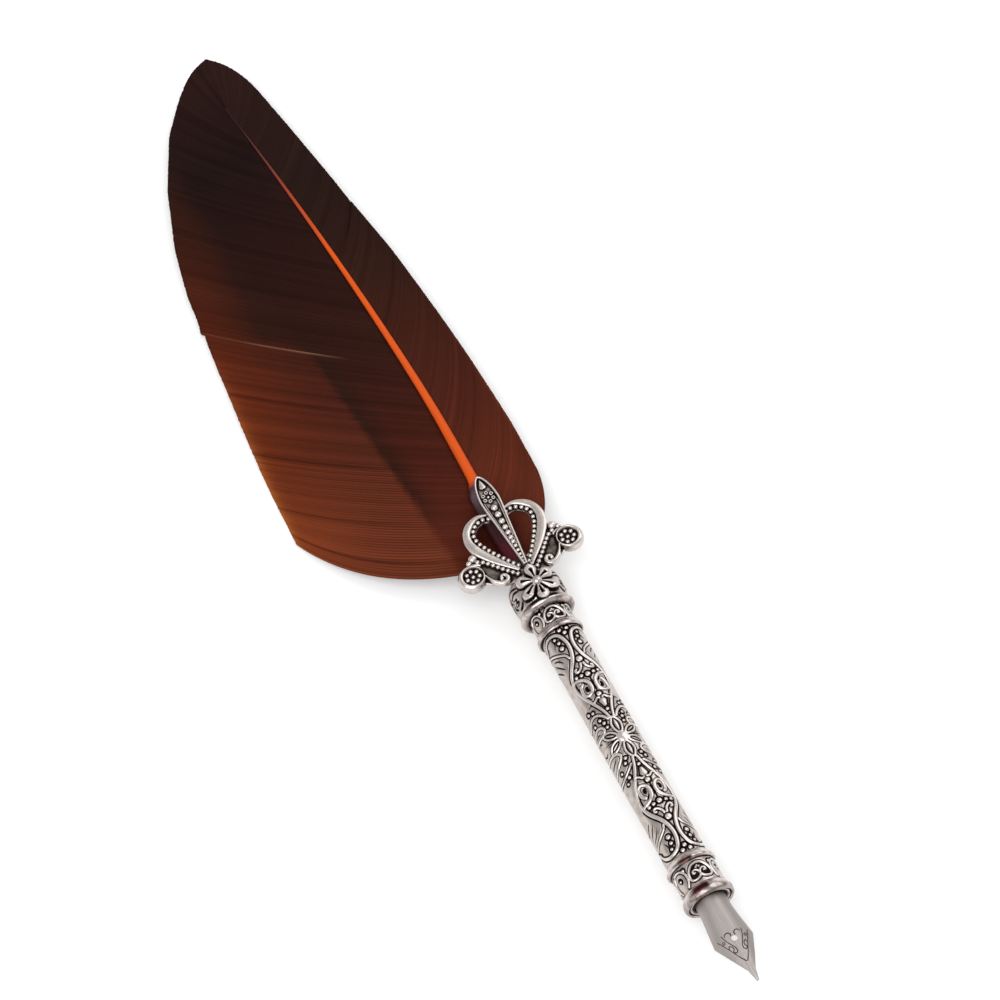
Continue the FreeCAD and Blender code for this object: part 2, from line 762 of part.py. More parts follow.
def make_vanes():
    split = size("vane_split") / vane_length()
    half_gap = size("vane_split_gap") / 2 / vane_length()
    width = size("broad_width")
    droop = size("broad_droop")
    shares = [rib[0] for rib in BROAD_RIBS]
    lower = [share for share in shares if share < split - half_gap] + [split - half_gap]
    upper = [split + half_gap] + [share for share in shares if share > split + half_gap]
    vane("broad_vane_lower", [rib_at(-1, BROAD_RIBS, share, width, droop) for share in lower])
    upper_ribs = [rib_at(-1, BROAD_RIBS, share, width, droop) for share in upper]
    vane("broad_vane_upper", upper_ribs + [tip_rib(-1, width, droop)])
    width = size("narrow_width")
    droop = size("narrow_droop")
    ribs = [rib_at(1, NARROW_RIBS, rib[0], width, droop) for rib in NARROW_RIBS]
    vane("narrow_vane", ribs + [tip_rib(1, width, droop)])


# ---------------------------------------------------------------- the whole pen

def check_document():
    """Stop if any object failed or any piece is not a valid solid."""
    doc.recompute()
    for item in doc.Objects:
        if "Invalid" in item.State or "Error" in item.State:
            raise RuntimeError(f"{item.Name} failed: {item.State}")
    for piece in pieces:
        if piece.Shape.isNull() or not piece.Shape.isValid() or not piece.Shape.Solids:
            raise RuntimeError(f"{piece.Label} has no valid solid")


make_nib()
make_nib_holder()
make_nib_bush()
make_mouth_ring()
make_lower_ferrule()
make_barrel()
make_upper_ferrule()
make_crown_stud()
make_crown_base()
make_quill_socket()
make_crown_frame()
make_spear_leaf()
make_rosette()
make_quill()
make_vanes()
check_document()

os.makedirs("parts", exist_ok=True)
for piece in pieces:
    piece.Shape.exportStep(os.path.join("parts", f"{piece.Label}.step"))
    print(f"{piece.Label}: {len(piece.Shape.Solids)} solid, {piece.Shape.Volume:.1f} mm3")
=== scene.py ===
import json
import math

import bpy
import numpy as np
from mathutils import Matrix, Vector
from mathutils.bvhtree import BVHTree


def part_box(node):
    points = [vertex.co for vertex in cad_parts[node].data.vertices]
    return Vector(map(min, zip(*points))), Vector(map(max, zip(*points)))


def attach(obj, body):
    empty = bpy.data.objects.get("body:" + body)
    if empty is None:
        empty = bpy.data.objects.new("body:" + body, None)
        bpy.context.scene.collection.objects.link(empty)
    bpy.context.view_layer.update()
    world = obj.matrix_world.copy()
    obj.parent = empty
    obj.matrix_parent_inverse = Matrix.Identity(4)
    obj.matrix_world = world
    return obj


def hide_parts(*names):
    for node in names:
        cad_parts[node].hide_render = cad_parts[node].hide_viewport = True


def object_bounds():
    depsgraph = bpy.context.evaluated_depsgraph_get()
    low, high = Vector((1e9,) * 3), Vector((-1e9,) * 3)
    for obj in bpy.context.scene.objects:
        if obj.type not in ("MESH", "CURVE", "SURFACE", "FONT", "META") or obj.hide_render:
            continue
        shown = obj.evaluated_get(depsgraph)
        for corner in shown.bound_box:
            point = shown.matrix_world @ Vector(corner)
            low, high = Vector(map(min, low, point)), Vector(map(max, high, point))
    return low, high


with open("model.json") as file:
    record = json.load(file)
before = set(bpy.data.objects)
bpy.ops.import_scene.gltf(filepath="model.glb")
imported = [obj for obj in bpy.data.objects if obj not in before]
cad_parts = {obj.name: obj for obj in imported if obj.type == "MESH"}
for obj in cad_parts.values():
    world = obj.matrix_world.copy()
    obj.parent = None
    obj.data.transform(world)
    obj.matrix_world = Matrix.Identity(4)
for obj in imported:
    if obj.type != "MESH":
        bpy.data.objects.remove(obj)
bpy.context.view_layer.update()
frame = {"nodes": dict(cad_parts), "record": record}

MM = 0.001
UP = np.array([0.0, 0.0, 1.0])
RING_SIDES = 160
# A skin's bore stands this far off the tube inside it.
SKIN_CLEARANCE = 0.02
rng = np.random.default_rng(11)

SLOTS = {part["node"]: part["material_slot"] for part in frame["record"]["subparts"]}
BODIES = {node: body for body, nodes in frame["record"]["behaviour"]["bodies"].items() for node in nodes}


def box_mm(node):
    """Lowest and highest corner of a CAD node, in millimetres."""
    low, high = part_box(node)
    return np.array(low) / MM, np.array(high) / MM


def ends(node):
    """Where a CAD node starts and ends along the pen."""
    low, high = box_mm(node)
    return low[1], high[1]


# ---------------------------------------------------------------- meshes

def grid_faces(rows, columns, wrap_rows=False):
    """Quads between the rows of a grid whose columns go all the way round."""
    row = np.arange(rows if wrap_rows else rows - 1)[:, None]
    column = np.arange(columns)[None, :]
    after = (row + 1) % rows
    beside = (column + 1) % columns
    corners = [row * columns + column, row * columns + beside,
               after * columns + beside, after * columns + column]
    corners = [np.broadcast_to(corner, (row.shape[0], columns)) for corner in corners]
    return np.stack(corners, axis=-1).reshape(-1, 4).tolist()


def capped_faces(rows, columns):
    """A grid's quads, and a flat face across its first row and its last."""
    last = (rows - 1) * columns
    caps = [list(range(columns))[::-1], [last + corner for corner in range(columns)]]
    return grid_faces(rows, columns) + caps


def pointed_faces(rows, columns):
    """A grid's quads, and fans from its first and last row to the two poles that follow its points."""
    faces = grid_faces(rows, columns)
    last = (rows - 1) * columns
    pole = rows * columns
    for corner in range(columns):
        beside = (corner + 1) % columns
        faces.append([pole, beside, corner])
        faces.append([pole + 1, last + corner, last + beside])
    return faces


class Solid:
    """Closed forms gathered into one mesh."""

    def __init__(self):
        self.points = []
        self.faces = []
        self.count = 0

    def add(self, points, faces):
        self.points.append(points)
        self.faces += [[corner + self.count for corner in face] for face in faces]
        self.count += len(points)

    def arrays(self):
        return np.vstack(self.points), self.faces


def mirrored(form):
    """A form's mirror image across the plane where x is 0."""
    points, faces = form
    return points * [-1, 1, 1], [face[::-1] for face in faces]


def smooth_path(points, per_span=8, closed=False):
    """Points along a smooth curve through the given ones."""
    knots = np.asarray(points, float)
    if closed:
        knots = np.vstack([knots[-1], knots, knots[0], knots[1]])
    else:
        knots = np.vstack([2 * knots[0] - knots[1], knots, 2 * knots[-1] - knots[-2]])
    share = np.linspace(0, 1, per_span, endpoint=False)[:, None]
    spans = []
    for before, here, there, after in zip(knots, knots[1:], knots[2:], knots[3:]):
        bend = 2 * before - 5 * here + 4 * there - after
        twist = 3 * here - before - 3 * there + after
        spans.append(here + 0.5 * ((there - before) * share + bend * share ** 2 + twist * share ** 3))
    path = np.vstack(spans)
    return path if closed else np.vstack([path, knots[-2]])


def swept(path, across, upward, sides=12, closed=False, square=1.0):
    """A tube along a path, with its half-widths across it and towards up: oval, or squarer under 1."""
    path = np.asarray(path, float)
    count = len(path)
    across = np.broadcast_to(across, count)[:, None, None]
    upward = np.broadcast_to(upward, count)[:, None, None]
    if closed:
        tangent = np.roll(path, -1, axis=0) - np.roll(path, 1, axis=0)
    else:
        tangent = np.gradient(path, axis=0)
    tangent /= np.linalg.norm(tangent, axis=1, keepdims=True)
    side = np.cross(tangent, UP)
    side /= np.linalg.norm(side, axis=1, keepdims=True)
    rise = np.cross(side, tangent)
    angle = np.linspace(0, 2 * np.pi, sides, endpoint=False)[None, :, None]
    wide = np.sign(np.cos(angle)) * np.abs(np.cos(angle)) ** square
    tall = np.sign(np.sin(angle)) * np.abs(np.sin(angle)) ** square
    rings = path[:, None] + across * wide * side[:, None] + upward * tall * rise[:, None]
    faces = grid_faces(count, sides, wrap_rows=True) if closed else capped_faces(count, sides)
    return rings.reshape(-1, 3), faces


def ball(centre, radius, height=None, rings=9, sides=14):
    """A ball, or a dome when its height differs from its radius."""
    height = radius if height is None else height
    rise = np.linspace(-np.pi / 2, np.pi / 2, rings)[1:-1]
    angle = np.linspace(0, 2 * np.pi, sides, endpoint=False)
    x = radius * np.outer(np.cos(rise), np.cos(angle))
    y = radius * np.outer(np.cos(rise), np.sin(angle))
    z = height * np.outer(np.sin(rise), np.ones(sides))
    points = np.vstack([np.stack([x, y, z], -1).reshape(-1, 3), [[0, 0, -height], [0, 0, height]]])
    return points + np.asarray(centre, float), pointed_faces(rings - 2, sides)


def stacked(rings):
    """A closed form through flat rings, each given as its centre's x and y, its radius and its height."""
    sides = 64
    angle = np.linspace(0, 2 * np.pi, sides, endpoint=False)
    x, y, radius, z = [np.array(values)[:, None] for values in zip(*rings)]
    level = np.broadcast_to(z, (len(rings), sides))
    points = np.stack([x + radius * np.cos(angle), y + radius * np.sin(angle), level], axis=-1)
    return points.reshape(-1, 3), capped_faces(len(rings), sides)


def turned(profile):
    """A closed ring about the pen's axis, through (radius, y) points that start and end at its bore."""
    radius, y = [np.array(values)[:, None] for values in zip(*profile)]
    angle = np.linspace(0, 2 * np.pi, RING_SIDES, endpoint=False)
    x, z = radius * np.sin(angle), radius * np.cos(angle)
    points = np.stack([x, np.broadcast_to(y, x.shape), z], axis=-1).reshape(-1, 3)
    return points, grid_faces(len(radius), RING_SIDES, wrap_rows=True)


def new_mesh(name, points, faces, unit=MM):
    mesh = bpy.data.meshes.new(name)
    mesh.from_pydata((np.asarray(points) * unit).tolist(), [], faces)
    mesh.update()
    return mesh


def linked(name, data):
    """A new object in the scene."""
    obj = bpy.data.objects.new(name, data)
    bpy.context.scene.collection.objects.link(obj)
    return obj


def mesh_points(mesh):
    points = np.zeros(len(mesh.vertices) * 3)
    mesh.vertices.foreach_get("co", points)
    return points.reshape(-1, 3)


def mesh_faces(mesh):
    return [list(face.vertices) for face in mesh.polygons]


def cad_form(node):
    """A copy of a CAD node's form, in millimetres."""
    mesh = frame["nodes"][node].data
    return mesh_points(mesh) / MM, mesh_faces(mesh)


def fused(solid, voxel):
    """One skin round overlapping forms, as a casting has, with its sharp creases eased."""
    holder = linked("fusing", new_mesh("fusing", *solid.arrays(), unit=1.0))
    remesh = holder.modifiers.new("skin", "REMESH")
    remesh.mode = "VOXEL"
    remesh.voxel_size = voxel
    evaluated = holder.evaluated_get(bpy.context.evaluated_depsgraph_get())
    mesh = bpy.data.meshes.new_from_object(evaluated)
    points, faces = mesh_points(mesh), mesh_faces(mesh)
    points += 0.5 * (neighbour_mean(points, mesh_edges(mesh)) - points)
    bpy.data.objects.remove(holder)
    bpy.data.meshes.remove(mesh)
    return points, faces


def mesh_edges(mesh):
    edges = np.zeros(len(mesh.edges) * 2, np.int64)
    mesh.edges.foreach_get("vertices", edges)
    return edges.reshape(-1, 2)


def neighbour_mean(points, edges):
    """The mean of each vertex's neighbours."""
    count = len(points)
    near = np.bincount(edges.ravel(), minlength=count)
    total = np.empty_like(points)
    for axis in range(3):
        total[:, axis] = np.bincount(edges[:, 0], points[edges[:, 1], axis], count)
        total[:, axis] += np.bincount(edges[:, 1], points[edges[:, 0], axis], count)
    return total / np.maximum(near, 1)[:, None]


def mark_recesses(mesh, rounds, depth, field=None):
    """Store how far each vertex lies below its surroundings, as a share of depth, and darken a low field.

    The field is given as its level and its darkness.
    """
    points = mesh_points(mesh) / MM
    normals = np.zeros(len(mesh.vertices) * 3)
    mesh.vertex_normals.foreach_get("vector", normals)
    normals = normals.reshape(-1, 3)
    edges = mesh_edges(mesh)
    smoothed = points
    for _ in range(rounds):
        smoothed = neighbour_mean(smoothed, edges)
    below = np.einsum("ij,ij->i", smoothed - points, normals) / depth
    if field:
        level, darkness = field
        low = np.clip((level - points[:, 2]) / 0.15, 0, 1) * np.clip(normals[:, 2] * 3 - 1, 0, 1)
        below = below + darkness * low
    store_darkness(mesh, below)


# The "recess" attribute holds patina depth on the cast pieces, and on the polished rings painted shade above
# 0 and a painted red reflection below 0.
def store_darkness(mesh, values):
    attribute = mesh.attributes.new("recess", "FLOAT", "POINT")
    attribute.data.foreach_set("value", np.clip(values, -1, 1).astype(np.float32))


def piece(name, form, node, recess=None, darkness=None, tint=None, overlay=None):
    """A piece in place of a CAD node, with its body and finish, or laid over it in another material."""
    mesh = new_mesh(name, *form)
    mesh.shade_smooth()
    if recess:
        mark_recesses(mesh, **recess)
    if darkness is not None:
        store_darkness(mesh, darkness)
    if tint is not None:
        colours = np.ones((len(mesh.vertices), 4), np.float32)
        colours[:, :3] = tint
        attribute = mesh.attributes.new("tint", "FLOAT_COLOR", "POINT")
        attribute.data.foreach_set("color", colours.ravel())
    mesh.materials.append(overlay or FINISHES[SLOTS[node]])
    obj = linked(name, mesh)
    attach(obj, BODIES[node])
    if not overlay:
        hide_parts(node)


# ---------------------------------------------------------------- materials

def linear(red, green, blue):
    """A colour written in 0 to 255, as the light it stands for."""
    values = np.array([red, green, blue]) / 255
    return np.where(values <= 0.04045, values / 12.92, ((values + 0.055) / 1.055) ** 2.4)


def tone(red, green, blue):
    """The same colour for a shader's socket."""
    return (*linear(red, green, blue).tolist(), 1.0)


class Shader:
    """A Principled material and short ways to add the nodes that feed it."""

    def __init__(self, name, **values):
        self.material = bpy.data.materials.new(name)
        self.material.use_nodes = True
        self.nodes = self.material.node_tree.nodes
        self.links = self.material.node_tree.links
        self.surface = self.nodes["Principled BSDF"]
        for socket, value in values.items():
            self.surface.inputs[socket.replace("_", " ")].default_value = value
        self.place = self.nodes.new("ShaderNodeTexCoord").outputs["Object"]

    def link(self, output, socket):
        self.links.new(output, self.surface.inputs[socket])

    def add(self, kind, inputs=None, **settings):
        node = self.nodes.new(kind)
        for key, value in settings.items():
            setattr(node, key, value)
        for key, value in (inputs or {}).items():
            if isinstance(value, bpy.types.NodeSocket):
                self.links.new(value, node.inputs[key])
            else:
                node.inputs[key].default_value = value
        return node

    def attribute(self, name, output="Fac"):
        return self.add("ShaderNodeAttribute", attribute_name=name).outputs[output]

    def noise(self, grain, stretch=(1, 1, 1), detail=4.0):
        """Noise whose grain is in millimetres, drawn out along the axes by stretch."""
        scale = tuple(1 / (grain * MM * part) for part in stretch)
        mapping = self.add("ShaderNodeMapping", {"Vector": self.place, "Scale": scale})
        inputs = {"Vector": mapping.outputs[0], "Scale": 1.0, "Detail": detail, "Roughness": 0.55}
        return self.add("ShaderNodeTexNoise", inputs).outputs["Fac"]

    def spread(self, value, low, high, to_low, to_high):
        inputs = {"Value": value, "From Min": low, "From Max": high, "To Min": to_low, "To Max": to_high}
        return self.add("ShaderNodeMapRange", inputs).outputs[0]

    def varied(self, noise, low, high):
        """Noise brought to about between low and high."""
        return self.spread(noise, 0.3, 0.7, low, high)

    def maths(self, operation, first, second):
        return self.add("ShaderNodeMath", {0: first, 1: second}, operation=operation).outputs[0]

    def ramp(self, value, stops):
        node = self.add("ShaderNodeValToRGB", {"Fac": value})
        ramp = node.color_ramp
        while len(ramp.elements) < len(stops):
            ramp.elements.new(0.5)
        for element, (position, colour) in zip(ramp.elements, stops):
            element.position = position
            element.color = colour
        return node.outputs["Color"]

    def mix(self, factor, first, second, blend="MIX"):
        node = self.add("ShaderNodeMix", data_type="RGBA", blend_type=blend)
        for socket, value in ((node.inputs[0], factor), (node.inputs[6], first), (node.inputs[7], second)):
            if isinstance(value, bpy.types.NodeSocket):
                self.links.new(value, socket)
            else:
                socket.default_value = value
        return node.outputs[2]

    def bump(self, height, strength, distance):
        node = self.add("ShaderNodeBump", {"Height": height, "Strength": strength, "Distance": distance * MM})
        self.link(node.outputs[0], "Normal")


def antique_silver():
    """Cast silver plating: bright where it is rubbed and near black in its recesses."""
    shader = Shader("antique_silver", Metallic=1.0)
    cloud = shader.varied(shader.noise(1.6), -0.10, 0.10)
    depth = shader.maths("ADD", shader.attribute("recess"), cloud)
    colour = shader.ramp(shader.spread(depth, -0.4, 1.0, 0.0, 1.0), (
        (0.00, tone(212, 203, 198)),
        (0.28, tone(184, 174, 168)),
        (0.42, tone(132, 121, 114)),
        (0.58, tone(54, 44, 39)),
        (0.85, tone(18, 14, 12)),
    ))
    shader.link(colour, "Base Color")
    grain = shader.varied(shader.noise(0.25), -0.05, 0.05)
    rough = shader.maths("ADD", shader.spread(depth, 0.0, 0.5, 0.27, 0.62), grain)
    shader.link(rough, "Roughness")
    shader.bump(shader.noise(0.12, detail=2.0), 0.25, 0.02)
    return shader.material


def polished_silver():
    """Plated rings, polished, with fine turning lines; they carry a painted dark red reflection and black
    painted shade.
    """
    shader = Shader("polished_silver", Metallic=1.0)
    patch = shader.spread(shader.noise(1.5), 0.44, 0.66, 0.0, 1.0)
    plating = shader.mix(patch, tone(202, 192, 187), tone(148, 134, 127))
    # Painted light from the stored values: below 0 a dark red painted reflection, above 0 painted shade,
    # black at 1.
    painted_light = shader.ramp(shader.spread(shader.attribute("recess"), -1.0, 1.0, 0.0, 1.0), (
        (0.0, tone(96, 22, 32)),
        (0.5, tone(255, 255, 255)),
        (0.75, tone(124, 114, 110)),
        (1.0, tone(22, 16, 15)),
    ))
    shader.link(shader.mix(1.0, plating, painted_light, "MULTIPLY"), "Base Color")
    shader.link(shader.varied(shader.noise(0.5), 0.16, 0.30), "Roughness")
    shader.bump(shader.noise(0.3, stretch=(30, 0.2, 30)), 0.12, 0.01)
    return shader.material


def satin_steel(name, light, shade, smooth, rough, painted_shade_from=None, mouth=None):
    """Steel grained along the pen: where asked, with painted shade beyond the nib's fold and a darker brown
    tone from the mouth inwards.
    """
    shader = Shader(name, Metallic=1.0)
    streak = shader.noise(0.12, stretch=(1, 40, 1))
    colour = shader.mix(streak, tone(*light), tone(*shade))
    if painted_shade_from:
        place = shader.add("ShaderNodeSeparateXYZ", {"Vector": shader.place}).outputs
        # Painted shade: the nib's face beyond its fold is darkened.
        beyond = shader.spread(place["X"], (painted_shade_from - 0.12) * MM, painted_shade_from * MM, 1.0, 0.84)
        colour = shader.mix(1.0, colour, beyond, "MULTIPLY")
        entered = shader.spread(place["Y"], (mouth - 0.7) * MM, (mouth + 1.8) * MM, 0.0, 1.0)
        colour = shader.mix(entered, colour, tone(122, 110, 106))
    shader.link(colour, "Base Color")
    shader.link(shader.varied(shader.noise(0.5, stretch=(1, 8, 1)), smooth, rough), "Roughness")
    shader.bump(streak, 0.15, 0.01)
    return shader.material


def plain_brass():
    shader = Shader("brass", Metallic=1.0)
    line = shader.noise(0.15, stretch=(20, 1, 20))
    shader.link(shader.mix(line, tone(190, 150, 84), tone(160, 120, 60)), "Base Color")
    shader.link(shader.varied(line, 0.25, 0.4), "Roughness")
    return shader.material


def red_fibre():
    shader = Shader("red_fibre", Roughness=0.8)
    fleck = shader.noise(0.2)
    shader.link(shader.mix(fleck, tone(120, 40, 28), tone(72, 22, 16)), "Base Color")
    shader.bump(fleck, 0.3, 0.05)
    return shader.material


def engraving_black():
    shader = Shader("engraving_black", Metallic=1.0)
    fleck = shader.noise(0.3)
    shader.link(shader.mix(fleck, tone(78, 66, 60), tone(52, 42, 38)), "Base Color")
    shader.link(shader.varied(fleck, 0.5, 0.7), "Roughness")
    return shader.material


def quill_horn():
    """Dyed horn, with faint streaks: the tint stored along the shaft holds a painted highlight and painted
    shade as well as its dye.
    """
    shader = Shader("quill_horn", Specular_IOR_Level=0.15)
    streak = shader.varied(shader.noise(0.3, stretch=(1, 30, 1)), 0.9, 1.08)
    tint = shader.attribute("tint", "Color")
    shader.link(shader.mix(1.0, tint, streak, "MULTIPLY"), "Base Color")
    shader.link(shader.varied(shader.noise(1.0), 0.38, 0.52), "Roughness")
    shader.bump(shader.noise(0.2, stretch=(1, 30, 1)), 0.15, 0.02)
    return shader.material


def dyed_vane():
    """Feather barbs: each barb's stored tint also holds painted glow, highlights and shade, and barbules show
    as fine flecks.
    """
    shader = Shader("dyed_vane", Specular_IOR_Level=0.03)
    fleck = shader.varied(shader.noise(0.35, detail=3.0), 0.93, 1.07)
    tint = shader.attribute("tint", "Color")
    shader.link(shader.mix(1.0, tint, fleck, "MULTIPLY"), "Base Color")
    shader.link(shader.varied(shader.noise(3.0), 0.6, 0.75), "Roughness")
    return shader.material


FINISHES = {
    "antique_silver": antique_silver(),
    "polished_silver": polished_silver(),
    "nib_steel": satin_steel("nib_steel", (180, 172, 168), (160, 152, 148), 0.46, 0.58,
                             painted_shade_from=1.2, mouth=ends("mouth_ring")[0] + 0.2),
    "brass": plain_brass(),
    "dark_steel": satin_steel("dark_steel", (70, 64, 60), (46, 42, 40), 0.4, 0.6),
    "red_fibre": red_fibre(),
    "quill_horn": quill_horn(),
    "dyed_vane": dyed_vane(),
}


def finish_cad_nodes():
    """Give every CAD node the finish of its material slot."""
    for node, slot in SLOTS.items():
        mesh = frame["nodes"][node].data
        mesh.materials.clear()
        mesh.materials.append(FINISHES[slot])


# ---------------------------------------------------------------- relief on turned pieces

class Relief:
    """Heights over a band round the pen: a runs round it from the front, y along it."""

    def __init__(self, radius, low, high, step, plain):
        self.radius = radius
        self.turn = 2 * math.pi * radius
        self.a = np.linspace(0, self.turn, round(self.turn / step), endpoint=False)
        self.y = np.linspace(low, high, round((high - low) / step) + 1)
        self.plain = plain
        self.height = np.full((len(self.y), len(self.a)), plain)
        self.strokes = []

    def stroke(self, points, half, top, gap=0.28, floor=0.0):
        """A raised line with a narrow groove along both sides."""
        path = np.asarray(points, float)
        self.strokes.append((path, np.broadcast_to(half, len(path)), top, gap, floor))

    def bead(self, a, y, radius, top, gap=0.36, floor=0.0):
        self.stroke([(a, y), (a, y + 0.01)], radius, top, gap, floor)

    def slit(self, points, half=0.15, floor=0.0):
        """A cut line, finer at its ends."""
        path = smooth_path(points, 6)
        taper = np.interp(np.linspace(0, 1, len(path)), (0, 0.2, 0.8, 1), (0.5, 1, 1, 0.5))
        self.strokes.append((path, half * taper, floor, 0.0, floor))

    def near(self, path, half):
        """Rows, columns and distance, as a share of half, where a stroke reaches."""
        reach = half.max()
        middle = path[:, 0].mean()
        a = (self.a - middle + self.turn / 2) % self.turn - self.turn / 2 + middle
        columns = np.nonzero((a > path[:, 0].min() - reach) & (a < path[:, 0].max() + reach))[0]
        rows = np.nonzero((self.y > path[:, 1].min() - reach) & (self.y < path[:, 1].max() + reach))[0]
        window = np.ix_(rows, columns)
        a, y = np.meshgrid(a[columns], self.y[rows])
        share = np.full(a.shape, np.inf)
        for index in range(len(path) - 1):
            along = path[index + 1] - path[index]
            length = max(along @ along, 1e-9)
            at = np.clip(((a - path[index, 0]) * along[0] + (y - path[index, 1]) * along[1]) / length, 0, 1)
            away = np.hypot(a - path[index, 0] - at * along[0], y - path[index, 1] - at * along[1])
            width = half[index] + at * (half[index + 1] - half[index])
            share = np.minimum(share, away / np.maximum(width, 1e-3))
        return window, share

    def sink(self, centre, size, floor):
        """Lower an oval field."""
        path = np.array([centre, centre + [0.001, 0]])
        window, share = self.near(path, np.array([size, size]))
        here = self.height[window]
        self.height[window] = np.where(share < 1, np.minimum(here, floor), here)

    def emboss(self):
        """Cut all the grooves, then raise all the strokes."""
        for path, half, top, gap, floor in self.strokes:
            window, share = self.near(path, half + gap)
            here = self.height[window]
            cut = floor + (here - floor) * np.clip(share, 0, 1) ** (12 if gap else 4)
            self.height[window] = np.where(share < 1, np.minimum(here, cut), here)
        for path, half, top, gap, floor in self.strokes:
            window, share = self.near(path, half)
            here = self.height[window]
            dome = floor + (top - floor) * np.sqrt(np.clip(1 - share ** 2, 0, 1))
            self.height[window] = np.where(share < 1, np.maximum(here, dome), here)

    def darkness(self):
        """How far each point of the sleeve lies below the plain ground, as a share of its depth."""
        deep = (self.plain - self.height) / self.plain
        edge = np.zeros((1, len(self.a)))
        return np.vstack([edge, deep, edge]).ravel()

    def form(self, bore, profile=None):
        """The closed sleeve: relief outside, plain bore inside."""
        outer = self.radius + self.height
        if profile is not None:
            outer = outer + profile(self.y)[:, None]
        angle = self.a / self.radius
        radius = np.vstack([np.full(len(angle), bore), outer, np.full(len(angle), bore)])
        y = np.concatenate([[self.y[0]], self.y, [self.y[-1]]])
        x = radius * np.sin(angle)
        z = radius * np.cos(angle)
        points = np.stack([x, np.broadcast_to(y[:, None], x.shape), z], axis=-1).reshape(-1, 3)
        return points, grid_faces(len(y), len(angle), wrap_rows=True)


def images(points, column, centre, halves=(1, -1)):
    """A stroke's mirror images about a column of the barrel and its middle: 1 is the half at the crown."""
    points = np.asarray(points, float)
    for left in (1, -1):
        for half in halves:
            yield points * [left, half] + [column, centre]


STROKE_TOP = 0.30
STROKE_HALF = 0.36
BEAD_TOP = 0.28
# The pattern is turned a little against the crown.
PATTERN_TURN = 0.22


